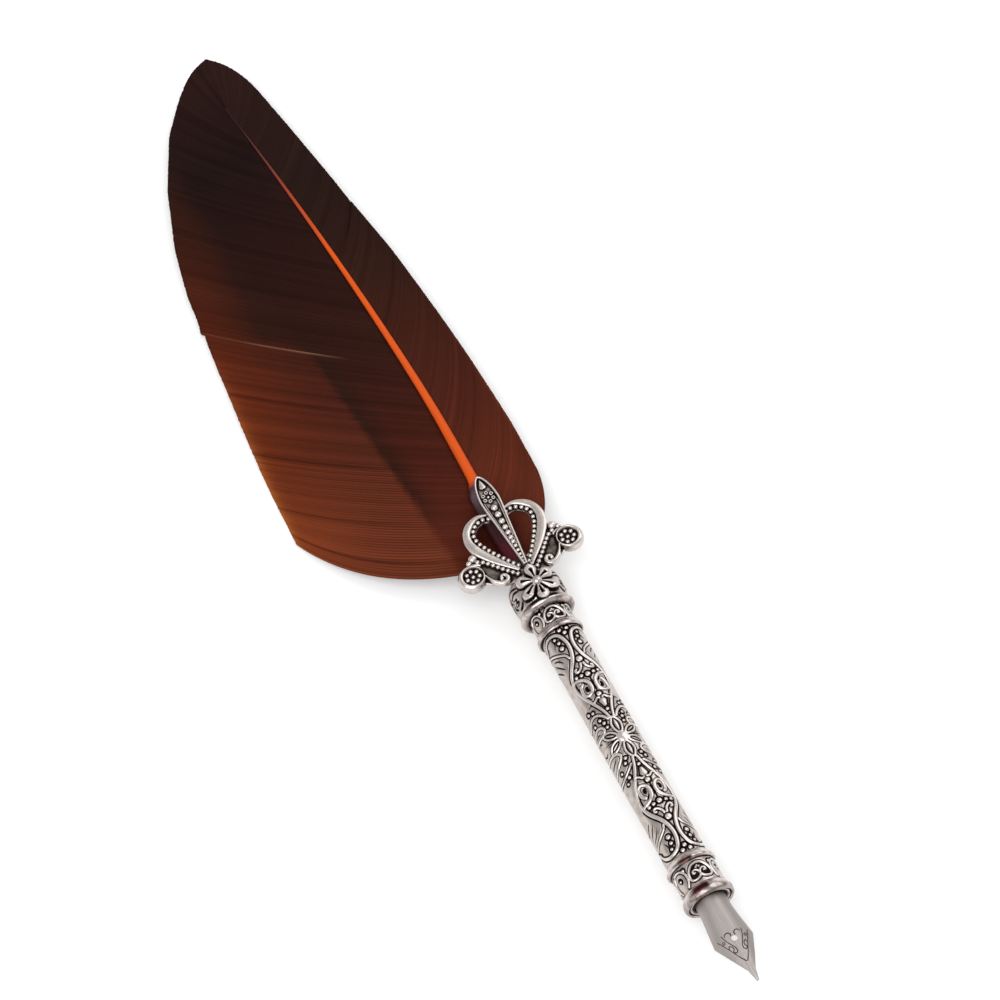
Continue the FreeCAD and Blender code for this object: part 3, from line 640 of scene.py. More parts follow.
def make_barrel():
    low, high = box_mm("barrel_shell")
    centre = (low[1] + high[1]) / 2
    relief = Relief(high[2] - 0.22, low[1], high[1], step=0.118, plain=0.16)
    quarter = relief.turn / 4
    fronts = [PATTERN_TURN, PATTERN_TURN + 2 * quarter]
    sides = [PATTERN_TURN + quarter, PATTERN_TURN + 3 * quarter]

    def line(points, columns, half=STROKE_HALF, top=STROKE_TOP, gap=0.24, halves=(1, -1)):
        path = smooth_path(points, 6)
        half = np.interp(np.linspace(0, 1, len(path)), np.linspace(0, 1, np.size(half)), np.atleast_1d(half))
        for column in columns:
            for image in images(path, column, centre, halves):
                relief.stroke(image, half, top, gap=gap)

    def slits(columns, *paths, half=0.15, halves=(1, -1)):
        for path in paths:
            for column in columns:
                for image in images(path, column, centre, halves):
                    relief.slit(image, half)

    def dots(places, columns, halves=(1, -1)):
        for a, dy, radius in places:
            for column in columns:
                for image in images([(a, dy)], column, centre, halves):
                    relief.bead(*image[0], radius, BEAD_TOP)

    # The long stem: from the flower down past a volute, in to a waist and out to an end arch.
    stem = smooth_path((
        (0.42, 5.3), (0.9, 7.1), (1.55, 8.7), (2.25, 10.1), (3.25, 12.2), (3.9, 14.0), (4.1, 15.6),
        (3.85, 17.3), (2.95, 19.1), (1.75, 20.9), (0.95, 22.7), (0.6, 24.6), (0.75, 26.4), (1.45, 28.2),
        (2.6, 29.0), (4.2, 29.1), (5.8, 28.2), (6.7, 26.8)), 6)
    widths = (0.3, 0.33, 0.36, 0.36, 0.33, 0.3, 0.32, 0.44, 0.47, 0.46, 0.44, 0.42, 0.42, 0.42, 0.42, 0.4,
              0.36, 0.34)
    widths = np.interp(np.arange(len(stem)), np.arange(len(widths)) * 6, widths)
    # It is raised in three lengths, with no groove beside the middle one.
    for first, last, gap in ((0, 19, 0.26), (18, 43, 0.0), (42, len(stem), 0.3)):
        for column in fronts:
            for image in images(stem[first:last], column, centre):
                relief.stroke(image, widths[first:last], STROKE_TOP, gap=gap)
    slits(fronts, ((2.0, 10.9), (2.9, 12.7), (3.4, 14.3), (3.6, 15.5), (3.5, 16.2)), half=0.24)
    # Volutes on both sides of a dark middle line: a band from the stem, over the top and round a dark eye.
    line(((3.8, 16.7), (2.9, 16.55), (1.8, 16.15), (0.95, 15.3), (0.64, 14.2), (0.76, 13.1), (1.3, 12.35),
          (2.1, 12.1), (2.75, 12.55), (2.95, 13.5), (2.75, 14.5), (2.2, 15.1)), fronts,
         half=(0.3, 0.4, 0.44, 0.44, 0.42, 0.34, 0.36, 0.46, 0.4), gap=0.1)
    slits(fronts, ((0.0, 12.2), (0.0, 14.0), (0.0, 16.1)), half=0.24)
    slits(fronts, ((1.55, 13.1), (1.8, 13.6), (1.65, 14.1)), half=0.44)
    slits(fronts, ((1.3, 14.6), (1.9, 15.4), (2.8, 15.3)), half=0.14)
    # Curls under the beads, brackets over the volutes and a small plate above them.
    line(((0.3, 19.9), (0.62, 19.0), (1.3, 18.35), (1.9, 18.3), (2.05, 18.8), (1.75, 19.05)), fronts,
         half=0.3)
    line(((1.95, 9.9), (1.35, 10.25), (0.8, 10.75), (0.35, 10.6)), fronts, half=0.26)
    for column in fronts:
        for down in (1, -1):
            small_plate = [(column, centre + down * 8.6), (column, centre + down * 9.6)]
            relief.stroke(small_plate, (0.5, 0.95), 0.2)
    dots(((0.0, 7.4, 0.44), (0.0, 11.5, 0.62), (0.0, 16.95, 0.62), (1.42, 17.15, 0.44),
          (2.62, 17.3, 0.44), (0.0, 21.1, 0.78), (0.0, 28.4, 0.5), (0.85, 29.4, 0.5), (2.2, 25.2, 0.55),
          (2.25, 26.7, 0.44), (2.75, 27.9, 0.38)), fronts)
    dots(((1.85, 4.8, 0.42), (2.4, 5.8, 0.4), (3.15, 8.95, 0.45), (4.15, 10.0, 0.36)), fronts, (-1,))
    dots(((1.95, 3.55, 0.38), (2.15, 4.75, 0.42), (2.7, 5.8, 0.4), (4.5, 5.4, 0.4), (3.3, 8.2, 0.4),
          (4.5, 8.6, 0.44)), fronts, (1,))
    # Flower in the middle: six long petals, rimmed, round a dome, and fine lines to its sides.
    for column in fronts:
        middle = np.array([column, centre])
        for petal in range(6):
            angle = math.radians(90 + 60 * petal)
            reach = 5.2 if petal % 3 == 0 else 4.6
            along = np.array([math.cos(angle), math.sin(angle)])
            beside = np.array([-along[1], along[0]])
            wide = 1.0 if petal % 3 == 0 else 0.8
            shares = ((0.0, 0.4), (0.25, 0.86), (0.55, 1.0), (0.85, 0.6))
            rim = [(share, wide * width) for share, width in shares] + [(1.0, 0.0)]
            rim += [(share, -wide * width) for share, width in reversed(shares)]
            rim = [middle + along * (1.3 + share * (reach - 1.3)) + beside * width for share, width in rim]
            relief.stroke(smooth_path(rim + rim[:1], 5), 0.27, 0.27, gap=0.14)
            core = np.array([0.12, 0.42, 0.44, 0.1]) * wide ** 3
            core_path = [middle + along * (1.75 + share * (reach - 2.4)) for share in (0, 0.35, 0.65, 1)]
            relief.stroke(core_path, core, 0.2, gap=0.17)
        relief.bead(column, centre, 1.38, 0.42, gap=0.18)
    slits(fronts, ((1.5, 0.0), (2.8, 0.0), (4.4, 0.0)), ((1.5, 0.34), (2.6, 0.45), (3.9, 0.5)), half=0.13)
    # Side columns: lobed leaves with slits, and smooth ground between them.
    line(((5.55, 6.6), (4.6, 7.5), (3.1, 8.4), (1.6, 8.9), (0.0, 9.0)), sides, half=0.26, halves=(-1,))
    line(((0.0, 3.0), (2.4, 2.7), (3.9, 2.9), (4.5, 3.6), (4.1, 4.5), (3.1, 5.3), (1.6, 6.2), (0.0, 6.8)),
         sides, half=0.32, gap=0.16, halves=(-1,))
    line(((6.0, 5.2), (5.3, 6.3), (4.3, 7.1), (3.3, 7.3), (2.1, 6.9), (1.0, 6.0), (0.0, 5.6)), sides,
         half=0.32, gap=0.2, halves=(1,))
    line(((0.0, 2.2), (1.9, 2.3), (3.4, 2.6), (4.1, 3.2), (3.9, 4.1), (2.9, 4.5), (1.6, 4.1), (0.6, 3.6),
          (0.0, 3.5)), sides, half=0.3, gap=0.14, halves=(1,))
    slits(sides, ((0.4, 4.9), (2.0, 4.4), (3.2, 3.8)), halves=(-1,))
    slits(sides, ((1.0, 3.0), (1.9, 3.3), (2.7, 3.2)), ((3.4, 9.6), (4.4, 9.9), (5.0, 9.3)), halves=(1,))
    slits(sides, ((0.2, 1.0), (1.0, 1.6), (1.9, 1.3)), ((0.0, 21.9), (0.9, 21.2), (2.2, 20.0)),
          ((0.8, 23.2), (2.0, 22.0), (3.1, 20.8)), ((1.2, 24.1), (2.6, 23.3), (3.5, 22.2)),
          ((3.3, 26.0), (3.8, 27.2), (3.4, 28.4)), ((0.6, 26.4), (1.4, 27.2), (1.2, 28.4)))
    line(((5.15, 22.3), (4.7, 23.3), (3.6, 24.1), (2.2, 24.9), (0.7, 25.6), (0.0, 25.8)), sides,
         half=0.28, gap=0.2)
    slits(sides, ((2.5, 17.0), (3.2, 18.6), (4.2, 20.2), (5.1, 21.8)), half=0.2)
    dots(((2.6, 7.2, 0.38),), sides, (-1,))
    relief.emboss()
    bore = box_mm("barrel_liner")[1][2] + SKIN_CLEARANCE
    piece("barrel_relief", relief.form(bore), "barrel_shell", darkness=relief.darkness())


def make_ring(name, node, rows, reflection_arc=(-50, 5)):
    """A polished ring: each row is a radius, a station, how black its painted shade is and how red its
    painted reflection is.
    """
    outside = smooth_path(rows[1:-1], 4)
    rows = np.vstack([rows[:1], outside, rows[-1:]])
    degrees = (np.linspace(0, 360, RING_SIDES, endpoint=False) + 180) % 360 - 180
    # The painted red reflection fades in over 24 degrees from the start of its arc and out over 6 before its
    # end.
    painted_light = np.clip((degrees - reflection_arc[0]) / 24, 0, 1) * np.clip((reflection_arc[1] - degrees) / 6, 0, 1)
    red = rows[:, 3:4] * painted_light
    # Painted shade counts up from 0, and the painted red reflection down from it.
    darkness = rows[:, 2:3] * (1 - red.clip(0, 1)) - red
    piece(name, turned(rows[:, :2]), node, darkness=darkness.ravel())


# The upper heart band runs this far in under the flange's rolled edge.
BAND_REACH = 0.4
# Height of the sunk field inside each heart.
HEART_FIELD = 0.05


def make_rings():
    radius = box_mm("mouth_ring")[1][0]
    front, back = ends("mouth_ring")
    bore = 4.74
    # In each ring's rows the third number is its painted shade and the fourth its painted red reflection.
    make_ring("mouth_rim", "mouth_ring", (
        (bore, back, 0, 0), (4.92, back, 0.8, 0), (4.99, back - 0.2, 0.2, 0.3), (5.12, back - 0.5, 0, 0.9),
        (5.28, back - 0.8, 0, 1.0), (5.44, back - 1.1, 0, 1.0), (5.57, back - 1.4, 0, 1.0),
        (radius, back - 1.75, 0.1, 0.8), (5.65, front + 0.9, 0.16, 0.2), (5.56, front + 0.46, 0.2, 0),
        (5.36, front + 0.16, 0.24, 0), (5.12, front + 0.06, 0.16, 0), (4.96, front + 0.16, 0, 0),
        (4.86, front + 0.34, 0.2, 0), (4.79, front + 0.54, 0.9, 0), (bore, front + 0.7, 1, 0),
        (bore, front + 0.95, 1, 0)), (-56, 8))
    front, back = ends("nib_holder")
    flange, sleeve, bore = 4.62, 3.8, 3.5
    make_ring("holder_rim", "nib_holder", (
        (bore, back - 0.8, 1, 0), (bore, front + 2.2, 1, 0), (3.55, front + 1.4, 1, 0),
        (3.66, front + 0.9, 0.95, 0), (3.78, front + 0.62, 0.9, 0), (3.94, front + 0.5, 0.7, 0.4),
        (4.1, front + 0.38, 0.3, 0.4), (4.27, front + 0.27, 0, 0), (4.43, front + 0.27, 0, 0),
        (4.57, front + 0.35, 0.5, 0), (flange, front + 0.44, 0.9, 0), (4.52, front + 0.56, 1, 0),
        (sleeve, front + 0.6, 1, 0), (sleeve, front + 1.0, 0.6, 0), (sleeve, back, 0.3, 0),
        (0.3, back, 0.3, 0), (0.3, back - 0.8, 0.3, 0)), (-80, 6))
    # The last number is how red each neck ring's painted reflection is.
    necks = (("lower_neck_rim", "lower_neck_ring", "nib_bush", 4.72, 1.0),
             ("upper_neck_rim", "upper_neck_ring", "barrel_liner", 4.82, 0.3))
    for name, node, tube, beside, red in necks:
        front, back = ends(node)
        radius = box_mm(node)[1][0]
        inner = box_mm(tube)[1][0] + SKIN_CLEARANCE
        make_ring(name, node, (
            (inner, front, 1, 0), (4.85, front + 0.02, 1, 0), (4.98, front, 0.4, 0),
            (5.16, front + 0.02, 0.1, 0), (5.3, front + 0.08, 0, 0.4 * red),
            (radius - 0.02, front + 0.26, 0, red), (radius, front + 0.46, 0, red),
            (radius - 0.02, front + 0.68, 0, 0.7 * red), (radius - 0.1, front + 0.86, 0, 0),
            (5.24, front + 1.06, 0, 0), (5.08, front + 1.3, 0, 0), (4.93, front + 1.6, 0, 0),
            (beside + 0.04, back - 0.15, 0.2, 0), (beside, back, 0.7, 0), (inner, back, 0.8, 0)))
    front, back = ends("flange_ring")
    front += BAND_REACH
    radius = box_mm("flange_ring")[1][0]
    bore = box_mm("barrel_liner")[1][0] + SKIN_CLEARANCE
    make_ring("flange_rim", "flange_ring", (
        (bore, front, 1, 0), (4.8, front + 0.02, 1, 0), (4.96, front, 0.85, 0.2),
        (5.14, front + 0.01, 0.48, 0.9), (5.4, front + 0.05, 0.3, 0.9), (5.7, front + 0.14, 0.22, 0.5),
        (5.98, front + 0.28, 0.14, 0), (6.24, front + 0.5, 0.04, 0), (6.4, front + 0.76, 0, 0),
        (radius, front + 1.0, 0, 0), (6.36, front + 1.22, 0, 0), (6.12, front + 1.56, 0, 0),
        (5.8, front + 1.98, 0.15, 0), (5.56, back - 0.1, 0.6, 0), (5.42, back, 0.9, 0),
        (bore, back, 1, 0)), (-40, -6))


def make_heart_band(name, node):
    """Three upturned hearts, each with curls and a tuft, and a plain round leaf between two of them."""
    low, high = box_mm(node)
    upper = node.startswith("upper")
    end = high[1] + BAND_REACH if upper else high[1]
    relief = Relief(high[2] - 0.3, low[1], end, step=0.10, plain=0.14)
    middle = (low[1] + end) / 2
    fit = 0.94 if upper else 1.0
    third = relief.turn / 3
    outline = ((0.0, 1.95), (1.1, 1.65), (2.05, 0.65), (2.45, -0.6), (2.15, -1.5), (1.35, -1.75),
               (0.55, -1.5), (0.0, -0.9))
    curl = ((0.0, -0.9), (0.12, -0.25), (0.4, 0.2), (0.95, 0.38), (1.4, 0.1), (1.3, -0.3), (1.0, -0.25))
    leaf = ((0.0, 2.1), (1.0, 1.85), (1.75, 0.9), (1.95, -0.2), (1.75, -1.3), (1.3, -2.2))
    hook = ((-0.75, 0.35), (-0.1, 0.75), (0.5, 0.4), (0.55, -0.3), (0.1, -0.6))

    def laid(points, place, side=1):
        return np.array(points) * fit * [side, 1] + place

    for number in range(3):
        place = np.array([PATTERN_TURN + number * third, middle])
        beside = place + [third / 2, 0]
        for across, along, radius in ((0.0, 0.15, 1.6), (0.9, -0.55, 1.2), (-0.9, -0.55, 1.2)):
            relief.sink(laid((across, along), place), radius * fit, HEART_FIELD)
        for side in (1, -1):
            relief.stroke(smooth_path(laid(outline, place, side), 6), 0.28, 0.36, gap=0.22)
            relief.stroke(smooth_path(laid(curl, place, side), 6), 0.2, 0.30, gap=0.16, floor=HEART_FIELD)
            relief.bead(*laid((0.33, 0.85), place, side), 0.24, 0.18, gap=0.08, floor=HEART_FIELD)
            relief.bead(*laid((3.1, 1.55), place, side), 0.42, 0.3)
            relief.stroke(smooth_path(laid(leaf, beside, side), 6), 0.25, 0.34, gap=0.24)
        relief.bead(*laid((0.0, 1.15), place), 0.24, 0.18, gap=0.08, floor=HEART_FIELD)
        relief.slit(laid(hook, beside), 0.22)
        relief.bead(*laid((0.0, 0.05), beside), 0.28, 0.3, gap=0.2)
    relief.emboss()
    bore = box_mm("barrel_liner")[1][2] + SKIN_CLEARANCE
    piece(name, relief.form(bore), node, darkness=relief.darkness())


def make_crown_base():
    """A cup whose leaves are cut by curved lines on both sides of the rosette."""
    low, high = box_mm("crown_base")
    relief = Relief(high[2] - 0.35, low[1], high[1], step=0.115, plain=0.33)
    cuts = (((4.5, 5.0), (6.4, 5.7), (8.9, 5.5)), ((4.4, 4.1), (5.8, 4.5), (7.3, 4.1)),
            ((7.9, 4.7), (8.6, 4.2), (8.3, 3.4)), ((7.6, 2.9), (7.9, 1.9), (7.3, 1.1)),
            ((6.9, 3.3), (6.0, 3.1), (6.3, 2.5), (5.6, 2.1), (6.2, 1.5)),
            ((9.4, 4.4), (9.5, 3.0), (8.9, 1.6)), ((4.7, 1.4), (5.6, 0.8), (6.8, 0.55)))
    for facing in (0, relief.turn / 2):
        for side in (1, -1):
            for cut in cuts:
                relief.slit(np.array(cut) * [side, 1] + [facing, low[1]], 0.27, 0.02)
            for a, rise, radius in ((7.7, 3.7, 0.42), (6.6, 2.0, 0.36)):
                relief.bead(facing + side * a, low[1] + rise, radius, 0.42, gap=0.14)
    relief.emboss()

    def profile(y):
        """The cup's side, drawn in at its foot and at its top."""
        rise = (y - low[1]) / (high[1] - low[1])
        return -0.72 * np.clip(1 - rise / 0.28, 0, 1) ** 1.6 - 0.6 * np.clip((rise - 0.7) / 0.3, 0, 1) ** 2

    bore = box_mm("crown_stud")[1][0]
    piece("crown_base_relief", relief.form(bore, profile), "crown_base", darkness=relief.darkness())


# ---------------------------------------------------------------- crown

def flat(points, z):
    points = np.asarray(points, float)
    return np.column_stack([points, np.full(len(points), z)])


def bead_row(solid, path, count, radius, z):
    """Beads at even steps along a path."""
    steps = np.concatenate([[0], np.cumsum(np.linalg.norm(np.diff(path, axis=0), axis=1))])
    at = np.linspace(0, steps[-1], count)
    radii = np.broadcast_to(radius, count)
    for x, y, size in zip(np.interp(at, steps, path[:, 0]), np.interp(at, steps, path[:, 1]), radii):
        solid.add(*ball((x, y, z), size))


def plate(outline, low, high):
    """A flat plate between two heights; its outline runs anticlockwise."""
    return np.vstack([flat(outline, low), flat(outline, high)]), capped_faces(2, len(outline))


CROWN_FOOT = ends("crown_frame")[0]
# Edges of the crown's loop on its right half, from the spear over the top and down to the foot.
# Here and in the outlines after it, the second number is the rise from the crown's foot.
LOOP_OUTER = ((2.0, 18.4), (3.9, 19.0), (5.5, 18.85), (7.3, 18.0), (8.7, 16.4), (9.45, 14.3),
              (9.5, 12.3), (9.0, 10.4), (8.0, 8.8), (6.6, 7.0), (4.7, 5.0), (3.0, 3.4), (1.7, 2.2))
LOOP_INNER = ((2.2, 18.0), (3.9, 18.15), (5.3, 17.6), (6.6, 16.5), (7.45, 15.3), (7.7, 13.8),
              (7.45, 12.5), (6.9, 11.2), (6.1, 9.7), (4.95, 7.9), (3.5, 5.7), (2.2, 4.0), (1.2, 2.6))
LOOP_BEADS = ((2.1, 17.2), (3.4, 17.55), (4.7, 17.25), (5.85, 16.5), (6.65, 15.4), (6.95, 14.1),
              (6.8, 12.8), (6.35, 11.5), (5.15, 9.1), (3.9, 7.1), (2.55, 5.1), (1.2, 3.3))
WING = ((0.0, 0.0), (5.0, 0.0), (8.6, 1.8), (11.0, 3.4), (11.6, 6.6), (10.0, 9.4), (8.0, 9.3),
        (6.2, 7.3), (4.3, 5.3), (2.6, 3.7), (1.2, 2.4), (0.0, 1.9))
WING_BEADS = ((2.3, 1.3), (3.2, 2.2), (4.8, 3.9), (6.2, 5.6), (7.8, 7.3), (9.0, 8.0))
HOOK = ((8.95, 4.1), (8.35, 2.7), (7.6, 1.6), (6.4, 0.7), (5.2, 0.65), (4.65, 1.45), (5.1, 2.3),
        (5.85, 2.25), (6.0, 1.7))
VOLUTE = (11.8, 4.8)


def crown_path(points, per_span=8):
    return smooth_path(points, per_span) + [0, CROWN_FOOT]


def half_crown_frame(face):
    """The right half of the crown: loop, wing, hook, knob and volute."""
    half = Solid()
    outer, inner = crown_path(LOOP_OUTER, 6), crown_path(LOOP_INNER, 6)
    along = np.linspace(0, 1, len(outer))
    width = np.linalg.norm(outer - inner, axis=1) / 2 + 0.05
    height = np.interp(along, (0, 0.55, 0.8, 1), (0.75, 0.75, 0.5, 0.25))
    half.add(*swept(flat((outer + inner) / 2, face - 0.1), width, height, sides=20, square=0.6))
    half.add(*plate(np.array(WING) + [0, CROWN_FOOT], face - 1.0, face - 0.13))
    # Beads round the loop in a channel at its inner edge, and a second row from the rosette to the knob.
    channel = crown_path(LOOP_BEADS)
    half.add(*swept(flat(channel, face - 0.65), 0.62, 0.45, square=0.6))
    bead_row(half, channel, count=16, radius=0.52, z=face + 0.12)
    bead_row(half, crown_path(WING_BEADS), count=9, radius=0.54, z=face + 0.22)
    half.add(*ball((9.65, CROWN_FOOT + 9.3, face + 0.1), 1.0, 0.9, rings=13, sides=20))
    half.add(*ball((10.75, CROWN_FOOT + 8.65, face), 0.68, 0.6))
    # Hook along the wing's lower edge, with its point at the volute and a bead in its curl.
    hook = crown_path(HOOK)
    width = np.interp(np.linspace(0, 1, len(hook)), (0, 0.25, 0.5, 0.8, 1), (0.15, 0.52, 0.62, 0.45, 0.42))
    half.add(*swept(flat(hook, face), width, 0.85, sides=16, square=0.8))
    half.add(*ball((*hook[-1], face + 0.35), 0.5))
    # Rib from the wing's beads over the volute.
    rib = crown_path(((8.7, 6.9), (9.5, 7.5), (11.0, 7.75), (13.0, 7.1)))
    half.add(*swept(flat(rib, face - 0.15), np.linspace(0.35, 0.5, len(rib)), 0.7))
    # Volute: a bulging wall that leans out, round a cup with a ring of beads.
    x, y = VOLUTE[0], CROWN_FOOT + VOLUTE[1]
    foot, cup = (x, y), (x - 0.4, y + 0.1)
    half.add(*stacked((
        (*foot, 2.5, 2.45), (*foot, 2.95, 2.75), (*foot, 3.13, 3.5), (*foot, 3.08, 4.3),
        (x - 0.1, y, 2.9, 4.9), (x - 0.3, y + 0.1, 2.62, 5.2), (*cup, 2.38, 5.15), (*cup, 2.22, 4.8),
        (*cup, 2.05, 4.25), (*cup, 0.3, 4.15))))
    beads = 7
    for index in range(beads):
        angle = math.radians(-64 + index * 360 / beads)
        centre = (cup[0] + 1.45 * math.cos(angle), cup[1] + 1.45 * math.sin(angle), 4.55)
        half.add(*ball(centre, 0.52))
    half.add(*ball((*cup, 4.4), 0.5))
    return half.arrays()


def make_crown_frame():
    face = 4.15
    half = half_crown_frame(face)
    solid = Solid()
    solid.add(*half)
    solid.add(*mirrored(half))
    piece("crown_relief", fused(solid, voxel=0.09), "crown_frame",
          recess={"rounds": 18, "depth": 0.12, "field": (face - 0.04, 0.5)})


def make_spear():
    low, high = box_mm("spear_leaf")
    foot, tip = low[1], high[1]
    wide = foot + 19.2
    half_width = high[0]
    points, faces = cad_form("spear_leaf")
    points[:, 2] = low[2] + 0.55 * (points[:, 2] - low[2])
    face = points[:, 2].max()
    solid = Solid()
    solid.add(points, faces)
    edge = smooth_path((
        (0.25, foot + 0.3), (1.0, foot + 7.5), (1.68, foot + 14.2), (half_width - 0.24, wide - 1.2),
        (half_width - 0.26, wide + 0.9), (1.62, wide + 3.5), (0.8, wide + 5.6), (0.0, tip - 0.25)))
    ridge = smooth_path(((0.45, foot + 6.0), (0.98, foot + 11.5), (1.45, foot + 16.6), (1.5, wide - 0.6)))
    for side in (1, -1):
        solid.add(*swept(flat(edge * [side, 1], face + 0.15), 0.27, 0.45))
        solid.add(*swept(flat(ridge * [side, 1], face), 0.14, 0.36))
    # Beads up the middle, small at the foot, then a flower and a drop.
    reach = np.array([0.6, 1.3, 2.15, 3.15, 4.3, 5.55, 6.8, 8.0, 9.4, 10.95, 12.7, 14.6, 16.6])
    size = np.interp(reach, (0.6, 4.3, 9.4, 14.6, 16.6), (0.34, 0.48, 0.68, 0.84, 0.84))
    for rise, radius in zip(reach, size):
        solid.add(*ball((0, foot + rise, face + 0.15), radius, 0.85 * radius + 0.05, rings=11, sides=18))
    centre = foot + 19.8
    ring = np.linspace(0, 2 * math.pi, 16, endpoint=False)
    for petal in range(6):
        angle = math.radians(90 + 60 * petal)
        x, y = 1.12 * math.cos(angle), centre + 1.22 * math.sin(angle)
        rim = np.stack([x + 0.33 * np.cos(ring), y + 0.33 * np.sin(ring)], axis=-1)
        solid.add(*swept(flat(rim, face + 0.1), 0.17, 0.36, closed=True))
    solid.add(*ball((0, centre, face + 0.1), 0.32))
    drop = smooth_path([(0, centre + rise, face) for rise in (2.35, 2.8, 3.4, 4.1, 4.75)], 4)
    width = np.interp(np.linspace(0, 1, len(drop)), (0, 0.25, 0.6, 1), (0.45, 0.88, 0.66, 0.1))
    solid.add(*swept(drop, width, 0.6, sides=16))
    piece("spear_relief", fused(solid, voxel=0.07), "spear_leaf",
          recess={"rounds": 18, "depth": 0.10, "field": (face + 0.12, 0.16)})


def make_rosette():
    """Six slit petals bent round the crown base, and the bead that rivets them."""
    rivet_low, rivet_high = box_mm("rosette_rivet")
    centre = (rivet_low[1] + rivet_high[1]) / 2
    base_low, base_high = box_mm("crown_base")
    seat = base_high[2]
    proud = box_mm("rosette")[1][2] - seat - 0.1
    sides, rings = 264, 48
    angle = np.linspace(0, 2 * math.pi, sides, endpoint=False)
    sector = (angle - math.pi / 2 + math.pi / 6) % (math.pi / 3) - math.pi / 6
    petal, reach = 1.62, 3.12
    beyond = np.sqrt(np.clip(petal ** 2 - (reach * np.sin(sector)) ** 2, 0.01, None))
    outline = reach * np.cos(sector) + beyond
    radius = np.linspace(0.02, 1, rings)[:, None] * outline
    along = radius * np.cos(sector)
    across = radius * np.sin(sector)
    width = np.interp(along, (0.0, 1.2, 2.0, 3.0, 3.7, 4.3, 4.74), (0.42, 0.5, 0.9, 1.42, 1.46, 1.05, 0.1))
    dome = np.clip(1 - (across / width) ** 2, 0, 1) ** 0.4
    slit_along = np.clip((along - 1.15) / 0.2, 0, 1) * np.clip((3.65 - along) / 0.2, 0, 1)
    slit_half = np.interp(along, (1.2, 2.4, 3.3), (0.15, 0.22, 0.36))
    slit = np.exp(-(across / slit_half) ** 4) * slit_along
    height = proud * dome * (1 - 0.9 * slit)
    x = radius * np.cos(angle)
    y = centre + radius * np.sin(angle)
    step = np.clip((base_low[1] + 0.8 - y) / 0.6, 0, 1)
    level = np.sqrt((seat + 0.4 * step + height) ** 2 - x ** 2)
    skirt = np.where(y[-1] > base_high[1] - 0.3, box_mm("crown_frame")[1][2] - 1.2,
                     np.sqrt((seat - 0.45) ** 2 - x[-1] ** 2))
    top = np.stack([x, y, level], axis=-1).reshape(-1, 3)
    rim = np.stack([x[-1], y[-1], skirt], axis=-1)
    points = np.vstack([top, rim, [[0, centre, level[0].mean()], [0, centre, seat - 0.6]]])
    form = points, pointed_faces(rings + 1, sides)
    deep = np.clip((0.55 * proud - height) / (0.4 * proud), -0.6, 1)
    darkness = np.concatenate([deep.ravel(), np.full(sides, 0.22), [0, 0]])
    piece("rosette_petals", form, "rosette", darkness=darkness)
    bead = ball((0.1, centre, rivet_high[2] - 0.9), 1.08, 0.8, rings=24, sides=48)
    piece("rosette_bead", bead, "rosette_rivet", recess={"rounds": 4, "depth": 0.3})


# ---------------------------------------------------------------- feather

QUILL_LOW, QUILL_HIGH = box_mm("feather_quill")
SOCKET_TOP = ends("quill_socket")[1]
FEATHER_TIP = ends("narrow_vane")[1]
VANE_START = SOCKET_TOP + 1.5
RACHIS_END = QUILL_HIGH[1]
QUILL_SHOULDER = SOCKET_TOP + 20.7
RACHIS_START = QUILL_SHOULDER + 4.0
QUILL_RADIUS = QUILL_HIGH[0]
RACHIS_RADIUS = 1.22
RACHIS_END_RADIUS = 0.10
RACHIS_BEND = 7.7
RACHIS_STRAIGHT = 2.0
SAG = 3.0
ROOT_SHARE = 0.8
BARB_SPACING = 0.62
BROAD_WIDTH, BROAD_DROOP = 41.0, 6.7
NARROW_WIDTH, NARROW_DROOP = 15.0, 1.6
SPLIT_STATION = ends("broad_vane_upper")[0] - 0.25
# Points along each barb, the height of its ridge and how uneven the tips are.
BARB_POINTS = 44
BARB_RIDGE = 0.11
BARB_RAGGED = 0.05
VANE_WAVE = 0.12
VANE_THICKNESS = 0.24

# Ribs of the vanes, each along one barb: how far along the vane its root is, its reach as a share
# of the vane's width, how far its tip lies beyond its root, and how much it bows.
BROAD_RIBS = np.array((
    (0.000, 1.000, 30.8, 0.145),
    (0.045, 0.998, 29.0, 0.085),
    (0.085, 0.998, 29.2, 0.060),
    (0.140, 0.993, 30.0, 0.045),
    (0.215, 0.975, 31.5, 0.035),
    (0.320, 0.936, 34.0, 0.030),
    (0.460, 0.878, 36.0, 0.030),
    (0.560, 0.799, 34.5, 0.030),
    (0.695, 0.646, 30.5, 0.030),
    (0.825, 0.444, 26.0, 0.030),
    (0.925, 0.241, 20.5, 0.030),
    (0.965, 0.100, 20.3, 0.015),
    (1.000, -0.044, 17.7, -0.010),
))
NARROW_RIBS = np.array((
    (0.000, 0.967, 20.2, 0.120),
    (0.080, 0.993, 23.0, 0.060),
    (0.180, 0.940, 26.0, 0.040),
    (0.310, 0.885, 23.5, 0.040),
    (0.470, 0.817, 21.0, 0.040),
    (0.630, 0.713, 15.5, 0.040),
    (0.760, 0.667, 12.5, 0.040),
    (0.880, 0.613, 10.5, 0.040),
    (0.955, 0.540, 13.0, 0.040),
    (0.980, 0.370, 17.0, 0.010),
    (1.000, 0.120, 17.7, -0.012),
))


def vane_x(y):
    """The middle line that the vanes' outlines are set out from."""
    start = RACHIS_START + RACHIS_STRAIGHT
    return -RACHIS_BEND * np.clip((y - start) / (RACHIS_END - start), 0, None) ** 1.8


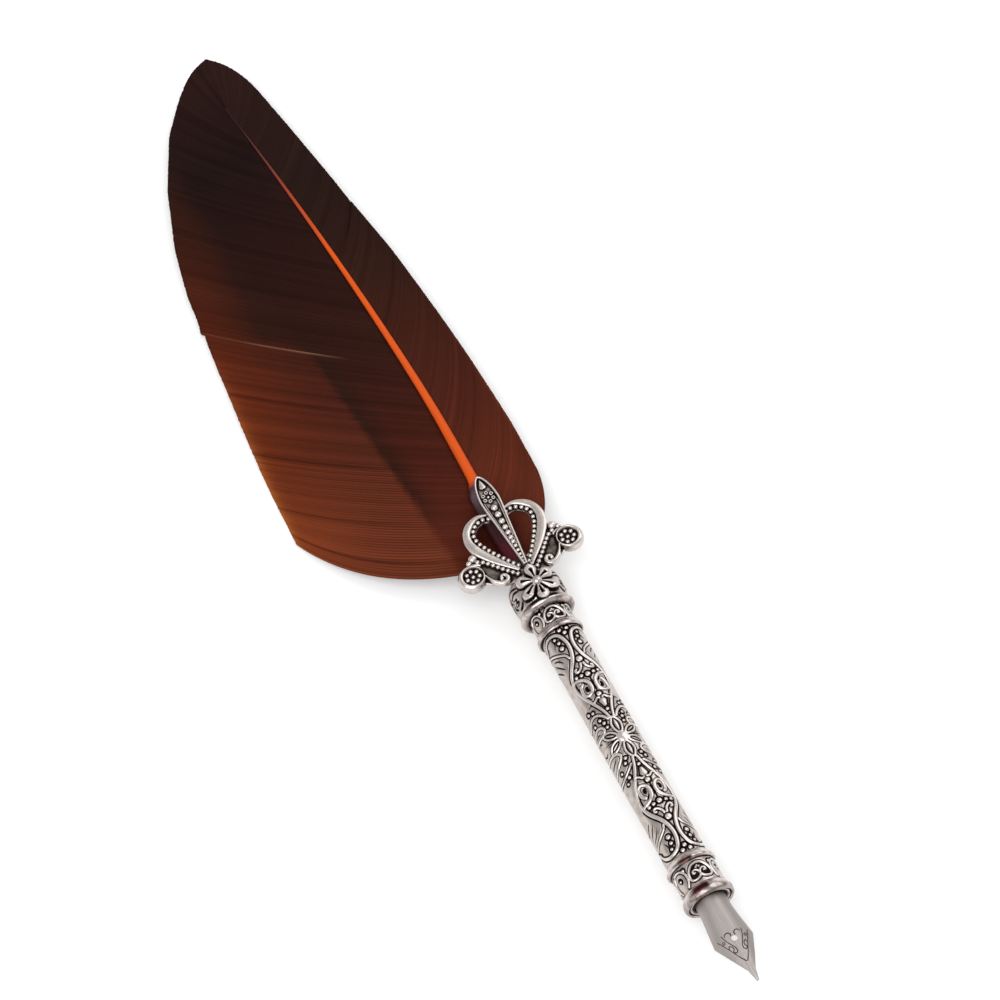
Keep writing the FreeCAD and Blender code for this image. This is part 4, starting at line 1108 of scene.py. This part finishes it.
def rachis_x(y):
    """The shaft leaves the socket a little towards the narrow vane, and comes back along its length."""
    lean = ((SOCKET_TOP + 2, 0), (SOCKET_TOP + 8, -0.35), (RACHIS_START - 3, -0.3), (RACHIS_START + 1, 0.15),
            (RACHIS_START + 20, 0.5), (RACHIS_START + 30, 0.55), (RACHIS_END, 0))
    return vane_x(y) + np.interp(y, *zip(*lean))


def rachis_z(y):
    return -SAG * np.clip((y - SOCKET_TOP) / (FEATHER_TIP - SOCKET_TOP), 0, None) ** 2


def rachis_radius(y):
    neck = np.interp(y, (SOCKET_TOP + 1, SOCKET_TOP + 8, QUILL_SHOULDER, RACHIS_START),
                     (QUILL_RADIUS, QUILL_RADIUS + 0.15, QUILL_RADIUS, RACHIS_RADIUS))
    share = np.clip((y - RACHIS_START) / (RACHIS_END - RACHIS_START), 0, 1)
    shaft = np.interp(share, (0, 0.2, 0.58, 1), (RACHIS_RADIUS, 0.92, 0.56, RACHIS_END_RADIUS))
    return np.where(y < RACHIS_START, neck, shaft)


def blend(low, high, share):
    """Mix of two colours by a share for each point."""
    share = np.clip(share, 0, 1)[..., None]
    return low * (1 - share) + high * share


def rib_values(ribs, share):
    """Reach, sweep and bow at shares of the vane's length, eased between the ribs."""
    fine = np.linspace(-0.05, 1.05, 441)
    kernel = np.hanning(25)
    kernel /= kernel.sum()
    columns = []
    for column in (1, 2, 3):
        line = np.interp(fine, ribs[:, 0], ribs[:, column])
        line += np.where(fine > 1, (fine - 1) * (ribs[-1, column] - ribs[-2, column]) / (1 - ribs[-2, 0]), 0)
        eased = np.convolve(np.pad(line, 12, mode="edge"), kernel, mode="valid")
        columns.append(np.interp(share, fine, eased))
    return columns


def barb_sheet(side, ribs, width, droop, first, last, cracks=(), flare=0.0):
    """A vane as a grid of points: two rows for each barb, its ridge and the valley beside it."""
    count = 2 * round((last - first) / BARB_SPACING) + 1
    station = np.linspace(first, last, count)
    ridge = (np.arange(count) % 2)[:, None]
    share = (station - VANE_START) / (RACHIS_END - VANE_START)
    reach, sweep, bow = rib_values(ribs, share)
    root = np.stack([rachis_x(station) + side * ROOT_SHARE * rachis_radius(station), station], axis=-1)
    tip = np.stack([vane_x(station) + side * reach * width, station + sweep], axis=-1)
    chord = tip - root
    length = np.linalg.norm(chord, axis=1)
    ragged = rng.normal(0, BARB_RAGGED, count) - BARB_RAGGED * (1 - ridge[:, 0])
    ragged += flare * np.exp(-np.abs(station - SPLIT_STATION) / 1.6)
    tip = root + chord * (1 + ragged / np.maximum(length, 4))[:, None]
    along = np.linspace(0, 1, BARB_POINTS) ** 0.9
    normal = side * np.stack([chord[:, 1], -chord[:, 0]], axis=-1)
    path = root[:, None] + along[None, :, None] * (tip - root)[:, None]
    path += (4 * along * (1 - along))[None, :, None] * (bow[:, None] * normal)[:, None]
    lift = BARB_RIDGE * (ridge - 0.5) * np.clip(along * 6, 0, 1)
    shade = np.ones((count, len(along)))
    # Each crack pulls the barbs apart and darkens the barbs along it with painted shade.
    for crack, opening, depth in cracks:
        away = (station - crack) / BARB_SPACING
        pull = np.sign(away) * np.exp(-np.abs(away) / 5.0)
        grow = along ** 1.5
        path += (opening * pull[:, None] * grow)[..., None] * np.array([0.0, 1.0])
        lift = lift - 0.3 * pull[:, None] * grow
        line = np.exp(-(away / 0.9) ** 2)
        shade *= 1 - depth * line[:, None] * np.clip(along * 3 - 0.6, 0, 1)
    wave = VANE_WAVE * np.sin(station / 9.0)[:, None] * along
    x, y = path[..., 0], path[..., 1]
    height = rachis_z(y) - droop * ((x - vane_x(y)) / width) ** 2 + lift + wave
    return station, along, np.stack([x, y, height], axis=-1), shade


def sheet_form(sheet, side):
    """A closed thin form with the sheet as its upper face."""
    rows, columns = sheet.shape[:2]
    below = sheet[:, ::-1] - [0, 0, VANE_THICKNESS]
    points = np.concatenate([sheet, below], axis=1).reshape(-1, 3)
    faces = grid_faces(rows, 2 * columns)
    last = (rows - 1) * 2 * columns
    for column in range(columns - 1):
        under = 2 * columns - 1 - column
        faces.append([column + 1, column, under, under - 1])
        faces.append([last + column, last + column + 1, last + under - 1, last + under])
    if side < 0:
        faces = [face[::-1] for face in faces]
    return points, faces


# Tints along the vanes, each at its distance beyond the socket's top: beside the rachis, in the middle
# and at the edge.
BROAD_INNER = (
    (11.7, (84, 35, 23)), (29.7, (72, 29, 19)), (43.7, (63, 26, 18)), (65.7, (50, 23, 17)),
    (101.7, (42, 21, 17)), (137.7, (31, 18, 17)), (165.7, (42, 24, 21)))
BROAD_MIDDLE = (
    (11.7, (100, 47, 30)), (27.7, (94, 43, 27)), (43.7, (80, 36, 24)), (59.7, (70, 30, 21)),
    (89.7, (48, 24, 17)), (125.7, (42, 22, 17)), (145.7, (33, 20, 19)), (165.7, (46, 26, 22)))
BROAD_EDGE = (
    (11.7, (126, 59, 33)), (29.7, (132, 61, 31)), (49.7, (106, 45, 22)), (74.7, (102, 41, 20)),
    (99.7, (80, 33, 19)), (124.7, (56, 27, 18)), (145.7, (44, 26, 20)), (169.7, (60, 34, 25)))
NARROW = (
    (13.7, (96, 43, 28)), (29.7, (86, 37, 23)), (43.7, (77, 33, 22)), (65.7, (66, 30, 21)),
    (89.7, (52, 27, 20)), (105.7, (43, 24, 19)), (125.7, (38, 23, 19)), (165.7, (44, 25, 22)))
# Tints along the shaft: violet horn, then the orange rachis, browner towards its end.
# The crimson at 3.7 is a painted highlight, and the dark stretch from 6.7 to 12.7, behind the crown, is
# painted shade.
SHAFT = (
    (-6.3, (60, 18, 26)), (3.7, (80, 18, 30)), (6.7, (54, 18, 22)), (12.7, (50, 24, 24)),
    (16.7, (72, 50, 56)), (20.2, (90, 74, 84)), (22.4, (66, 40, 42)), (24.3, (206, 80, 18)),
    (99.7, (212, 82, 18)), (115.7, (176, 66, 30)), (131.7, (110, 50, 40)), (147.7, (50, 26, 22)))
DARK_BAND = linear(44, 24, 17)
# Painted orange glow of light through the vane's edge.
PAINTED_EDGE_GLOW = linear(178, 98, 46)
# Painted highlight on the turned-up barb below the split.
PAINTED_SPLIT_HIGHLIGHT = linear(134, 94, 76)


def graded(stations, tints):
    """Tints at stations along the feather, eased between the given ones."""
    at = [SOCKET_TOP + beyond for beyond, _ in tints]
    colours = np.array([linear(*tint) for _, tint in tints])
    return np.stack([np.interp(stations, at, colours[:, channel]) for channel in range(3)], axis=-1)


def edge_distance(sheet):
    """How far each point lies from its barb's tip."""
    return np.linalg.norm(sheet[:, -1:, :2] - sheet[..., :2], axis=-1)


def broad_tint(station, along, sheet):
    """Red-brown beside the rachis, then a dark band and a rusty outer part, with a painted orange glow of
    light through its edge.
    """
    x, y = sheet[..., 0], sheet[..., 1]
    upper = np.clip((station - SPLIT_STATION) / 2, 0, 1)[:, None]
    inner = graded(y, BROAD_INNER)
    beyond = y - SOCKET_TOP
    boundary = -12.3 - 0.09 * (beyond - 13.7) + rng.normal(0, 0.18, len(station))[:, None]
    beside = np.clip(1 - (x - boundary) / 5.0, 0, 1) ** 1.3 * np.clip((beyond - 15.7) / 14, 0, 1)
    inner = blend(inner, DARK_BAND, 0.85 * beside * (1 - upper))
    middle, edge = graded(y, BROAD_MIDDLE), graded(y, BROAD_EDGE)
    lower_outer = blend(middle, edge, ((along - 0.35) / 0.65).clip(0) ** 1.6)
    upper_outer = blend(middle, edge, (along - 0.66) / 0.3)
    outer = blend(lower_outer, upper_outer, upper * np.ones_like(x))
    colour = blend(inner, outer, (boundary - x) / (1.2 + 5.0 * upper))
    edge_glow = 0.75 * np.exp(-edge_distance(sheet) / 1.3) * np.clip((91.7 - beyond) / 40, 0, 1)
    colour = blend(colour, PAINTED_EDGE_GLOW, edge_glow * np.clip((beyond - 13.7) / 8, 0, 1))
    # A painted highlight on the turned-up barb below the split, and painted shade on the upper part just
    # above it.
    split_highlight = np.exp(-((station - SPLIT_STATION) / 0.3) ** 2)[:, None] * (station <= SPLIT_STATION)[:, None]
    reach = np.clip(along * 5 - 1.3, 0, 1) * (0.35 + 0.65 * np.clip((0.82 - along) / 0.12, 0, 1))
    colour = blend(colour, PAINTED_SPLIT_HIGHLIGHT, (1 - upper) * split_highlight * reach)
    shade = 1 - 0.5 * upper * np.exp(-np.clip(station - SPLIT_STATION, 0, None) / 2.5)[:, None] * along
    return colour * shade[..., None]


def narrow_tint(_station, _along, sheet):
    """Red-brown all over, with a faint painted orange glow of light through its edge."""
    y = sheet[..., 1]
    edge_glow = 0.25 * np.exp(-edge_distance(sheet) / 0.8) * np.clip((SOCKET_TOP + 79.7 - y) / 50, 0, 1)
    return blend(graded(y, NARROW), PAINTED_EDGE_GLOW, edge_glow)


def patch_share(sheet, middle, size, power):
    """A share that is 1 in the middle of a patch of the vane and falls away over its size."""
    away = np.abs((sheet[..., :2] - middle) / size)
    return np.exp(-(away ** power).sum(axis=-1))


def make_vane(name, node, side, ribs, width, droop, first, last, tint, cracks=(), flare=0.0):
    station, along, sheet, shade = barb_sheet(side, ribs, width, droop, first, last, cracks, flare)
    colour = tint(station, along, sheet) * shade[..., None]
    streak = np.repeat(rng.normal(0, 0.07, len(station) // 2 + 1), 2)[:len(station)]
    streak = streak + np.interp(station, np.linspace(first, last, 60), rng.normal(0, 0.08, 60))
    # Painted highlight and shade on the barbs: ridge rows lighter and valley rows darker, most of all in one
    # patch of the broad vane.
    fine = 0.13 + 0.36 * patch_share(sheet, (-19, SOCKET_TOP + 23.7), (8, 20), 2)
    # Painted shadow of the crown on the vane just above the socket.
    crown_shadow = 1 - 0.42 * patch_share(sheet, (-1.5, SOCKET_TOP + 7.7), (5.5, 8), 4)
    colour = colour * crown_shadow[..., None]
    ridge = np.where(np.arange(len(station)) % 2, 1, -1)[:, None]
    colour = colour * (0.86 * (1 + fine * ridge) * np.exp(streak)[:, None])[..., None]
    colour = np.concatenate([colour, 0.8 * colour[:, ::-1]], axis=1).reshape(-1, 3)
    piece(name, sheet_form(sheet, side), node, tint=colour)


def make_feather():
    # Each crack: its station, how far it opens, and how dark its painted shade is.
    cracks = ((VANE_START + 3.6, -0.4, 0.45), (VANE_START + 12.5, -0.2, 0.4),
              (VANE_START + 27.0, -0.15, 0.4), (VANE_START + 43.0, -0.12, 0.3))
    make_vane("broad_barbs_lower", "broad_vane_lower", -1, BROAD_RIBS, BROAD_WIDTH, BROAD_DROOP,
              VANE_START, SPLIT_STATION, broad_tint, cracks, flare=-0.5)
    make_vane("broad_barbs_upper", "broad_vane_upper", -1, BROAD_RIBS, BROAD_WIDTH, BROAD_DROOP,
              SPLIT_STATION - 0.35, RACHIS_END, broad_tint, ((SPLIT_STATION - 0.6, 0.0, 0.3),), flare=0.6)
    make_vane("narrow_barbs", "narrow_vane", 1, NARROW_RIBS, NARROW_WIDTH, NARROW_DROOP,
              VANE_START, RACHIS_END, narrow_tint, ((VANE_START + 96.0, -0.15, 0.3),))


def make_quill():
    """Calamus and rachis in one shaft, dark violet in the socket and orange beyond it."""
    y = np.concatenate([[QUILL_LOW[1], QUILL_LOW[1] + 0.4], np.linspace(QUILL_LOW[1] + 2, RACHIS_END, 150)])
    radius = rachis_radius(y)
    radius[0] *= 0.8
    path = np.stack([rachis_x(y), y, rachis_z(y)], axis=-1)
    sides = 20
    points, faces = swept(path, radius, radius, sides=sides)
    tint = graded(y, SHAFT)
    piece("quill_shaft", (points, faces), "feather_quill", tint=np.repeat(tint, sides, axis=0))


# ---------------------------------------------------------------- nib

ENGRAVING_HALF = 0.125
ENGRAVING_HEIGHT = 0.02
ENGRAVING_RISE = 0.004
# The right half's lines: a long and a short curve, a scroll, a curl and a ring.
ENGRAVED_LINES = (
    ((3.35, -10.5), (2.2, -12.9), (0.95, -15.6), (0.1, -17.1)),
    ((2.2, -9.9), (1.85, -11.2), (1.2, -12.6), (0.75, -13.4)),
    ((0.75, -13.4), (0.66, -14.2), (1.05, -14.6), (1.45, -14.1), (1.15, -13.6), (1.35, -13.0),
     (1.8, -12.7), (1.95, -13.2)),
    ((0.5, -10.9), (0.42, -10.4), (0.85, -9.95), (1.45, -10.05), (1.7, -10.5)),
    ((2.35, -11.2), (2.1, -11.5), (2.35, -11.8), (2.6, -11.5), (2.4, -11.2)),
)


def make_nib_engraving():
    """Fine engraved lines, laid on the nib's own surface."""
    points, faces = cad_form("nib")
    surface = BVHTree.FromPolygons(points.tolist(), faces)
    above = 20.0
    solid = Solid()
    for side in (1, -1):
        for path in ENGRAVED_LINES:
            laid = []
            for x, y in smooth_path(np.array(path) * [side, 1]):
                hit = surface.ray_cast(Vector((x, y, above)), -Vector(UP))[0]
                if hit is not None:
                    laid.append((x, y, hit.z + ENGRAVING_RISE))
            solid.add(*swept(laid, ENGRAVING_HALF, ENGRAVING_HEIGHT, sides=6))
    piece("nib_engraving", solid.arrays(), "nib", overlay=engraving_black())


# ---------------------------------------------------------------- floor, lights and camera

def make_stage():
    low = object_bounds()[0][2] / MM
    size = 3000.0
    corners = [(-size, -size, low), (size, -size, low), (size, size, low), (-size, size, low)]
    floor = linked("floor", new_mesh("floor", corners, [[0, 1, 2, 3]]))
    shader = Shader("pale_floor", Roughness=0.9, Specular_IOR_Level=0.1)
    shader.surface.inputs["Base Color"].default_value = (0.86, 0.86, 0.86, 1)
    ray = shader.add("ShaderNodeLightPath")
    seen = shader.maths("ADD", ray.outputs["Is Camera Ray"], ray.outputs["Is Glossy Ray"])
    seen = shader.maths("ADD", seen, ray.outputs["Is Transmission Ray"])
    shader.link(shader.spread(seen, 0, 1, 0.0, 0.2), "Emission Strength")
    shader.surface.inputs["Emission Color"].default_value = (1, 1, 1, 1)
    floor.data.materials.append(shader.material)


LIGHTS_AIM = Vector((0.0, 0.1, 0.0))


def area_light(name, place, size, power):
    data = bpy.data.lights.new(name, "AREA")
    data.size = size
    data.energy = power
    lamp = linked(name, data)
    lamp.location = place
    lamp.rotation_mode = "QUATERNION"
    lamp.rotation_quaternion = (LIGHTS_AIM - Vector(place)).to_track_quat("-Z", "Y")


def make_lights():
    world = bpy.data.worlds.new("studio")
    bpy.context.scene.world = world
    world.use_nodes = True
    background = world.node_tree.nodes["Background"]
    background.inputs["Color"].default_value = (1.0, 1.0, 1.0, 1)
    background.inputs["Strength"].default_value = 0.66
    area_light("key", place=(-0.35, -0.25, 0.75), size=0.8, power=5.0)
    area_light("fill", place=(0.55, 0.3, 0.6), size=0.7, power=2.2)


CAMERA_TARGET = np.array([3.21, 107.87, 0.0])
CAMERA_DISTANCE = 680.0
CAMERA_LENS, SENSOR_WIDTH = 110.0, 36.0
# The camera leans to the nib's end and a little to the broad vane's side, turned about its line of sight.
CAMERA_TILT, CAMERA_ROLL, CAMERA_TURN = math.radians(31.5), math.radians(12.0), math.radians(29.6)


def make_camera():
    """Camera above and in front of the nib end, turned so that the pen runs across the frame."""
    back = np.array([-math.sin(CAMERA_ROLL) * math.cos(CAMERA_TILT), -math.sin(CAMERA_TILT),
                     math.cos(CAMERA_ROLL) * math.cos(CAMERA_TILT)])
    along = np.array([0.0, 1.0, 0.0])
    rise = along - back * (along @ back)
    rise /= np.linalg.norm(rise)
    across = np.cross(rise, back)
    up = rise * math.cos(CAMERA_TURN) + across * math.sin(CAMERA_TURN)
    right = across * math.cos(CAMERA_TURN) - rise * math.sin(CAMERA_TURN)
    data = bpy.data.cameras.new("camera")
    data.sensor_width = SENSOR_WIDTH
    data.lens = CAMERA_LENS
    data.clip_start = 0.01
    camera = linked("camera", data)
    matrix = Matrix([right.tolist(), up.tolist(), back.tolist()]).transposed().to_4x4()
    matrix.translation = Vector((CAMERA_TARGET + CAMERA_DISTANCE * back) * MM)
    camera.matrix_world = matrix
    bpy.context.scene.camera = camera
    bpy.context.scene.view_settings.view_transform = "Standard"


finish_cad_nodes()
make_barrel()
make_heart_band("lower_heart_relief", "lower_heart_band")
make_heart_band("upper_heart_relief", "upper_heart_band")
make_rings()
make_crown_base()
make_crown_frame()
make_spear()
make_rosette()
make_feather()
make_quill()
make_nib_engraving()
make_stage()
make_lights()
make_camera()
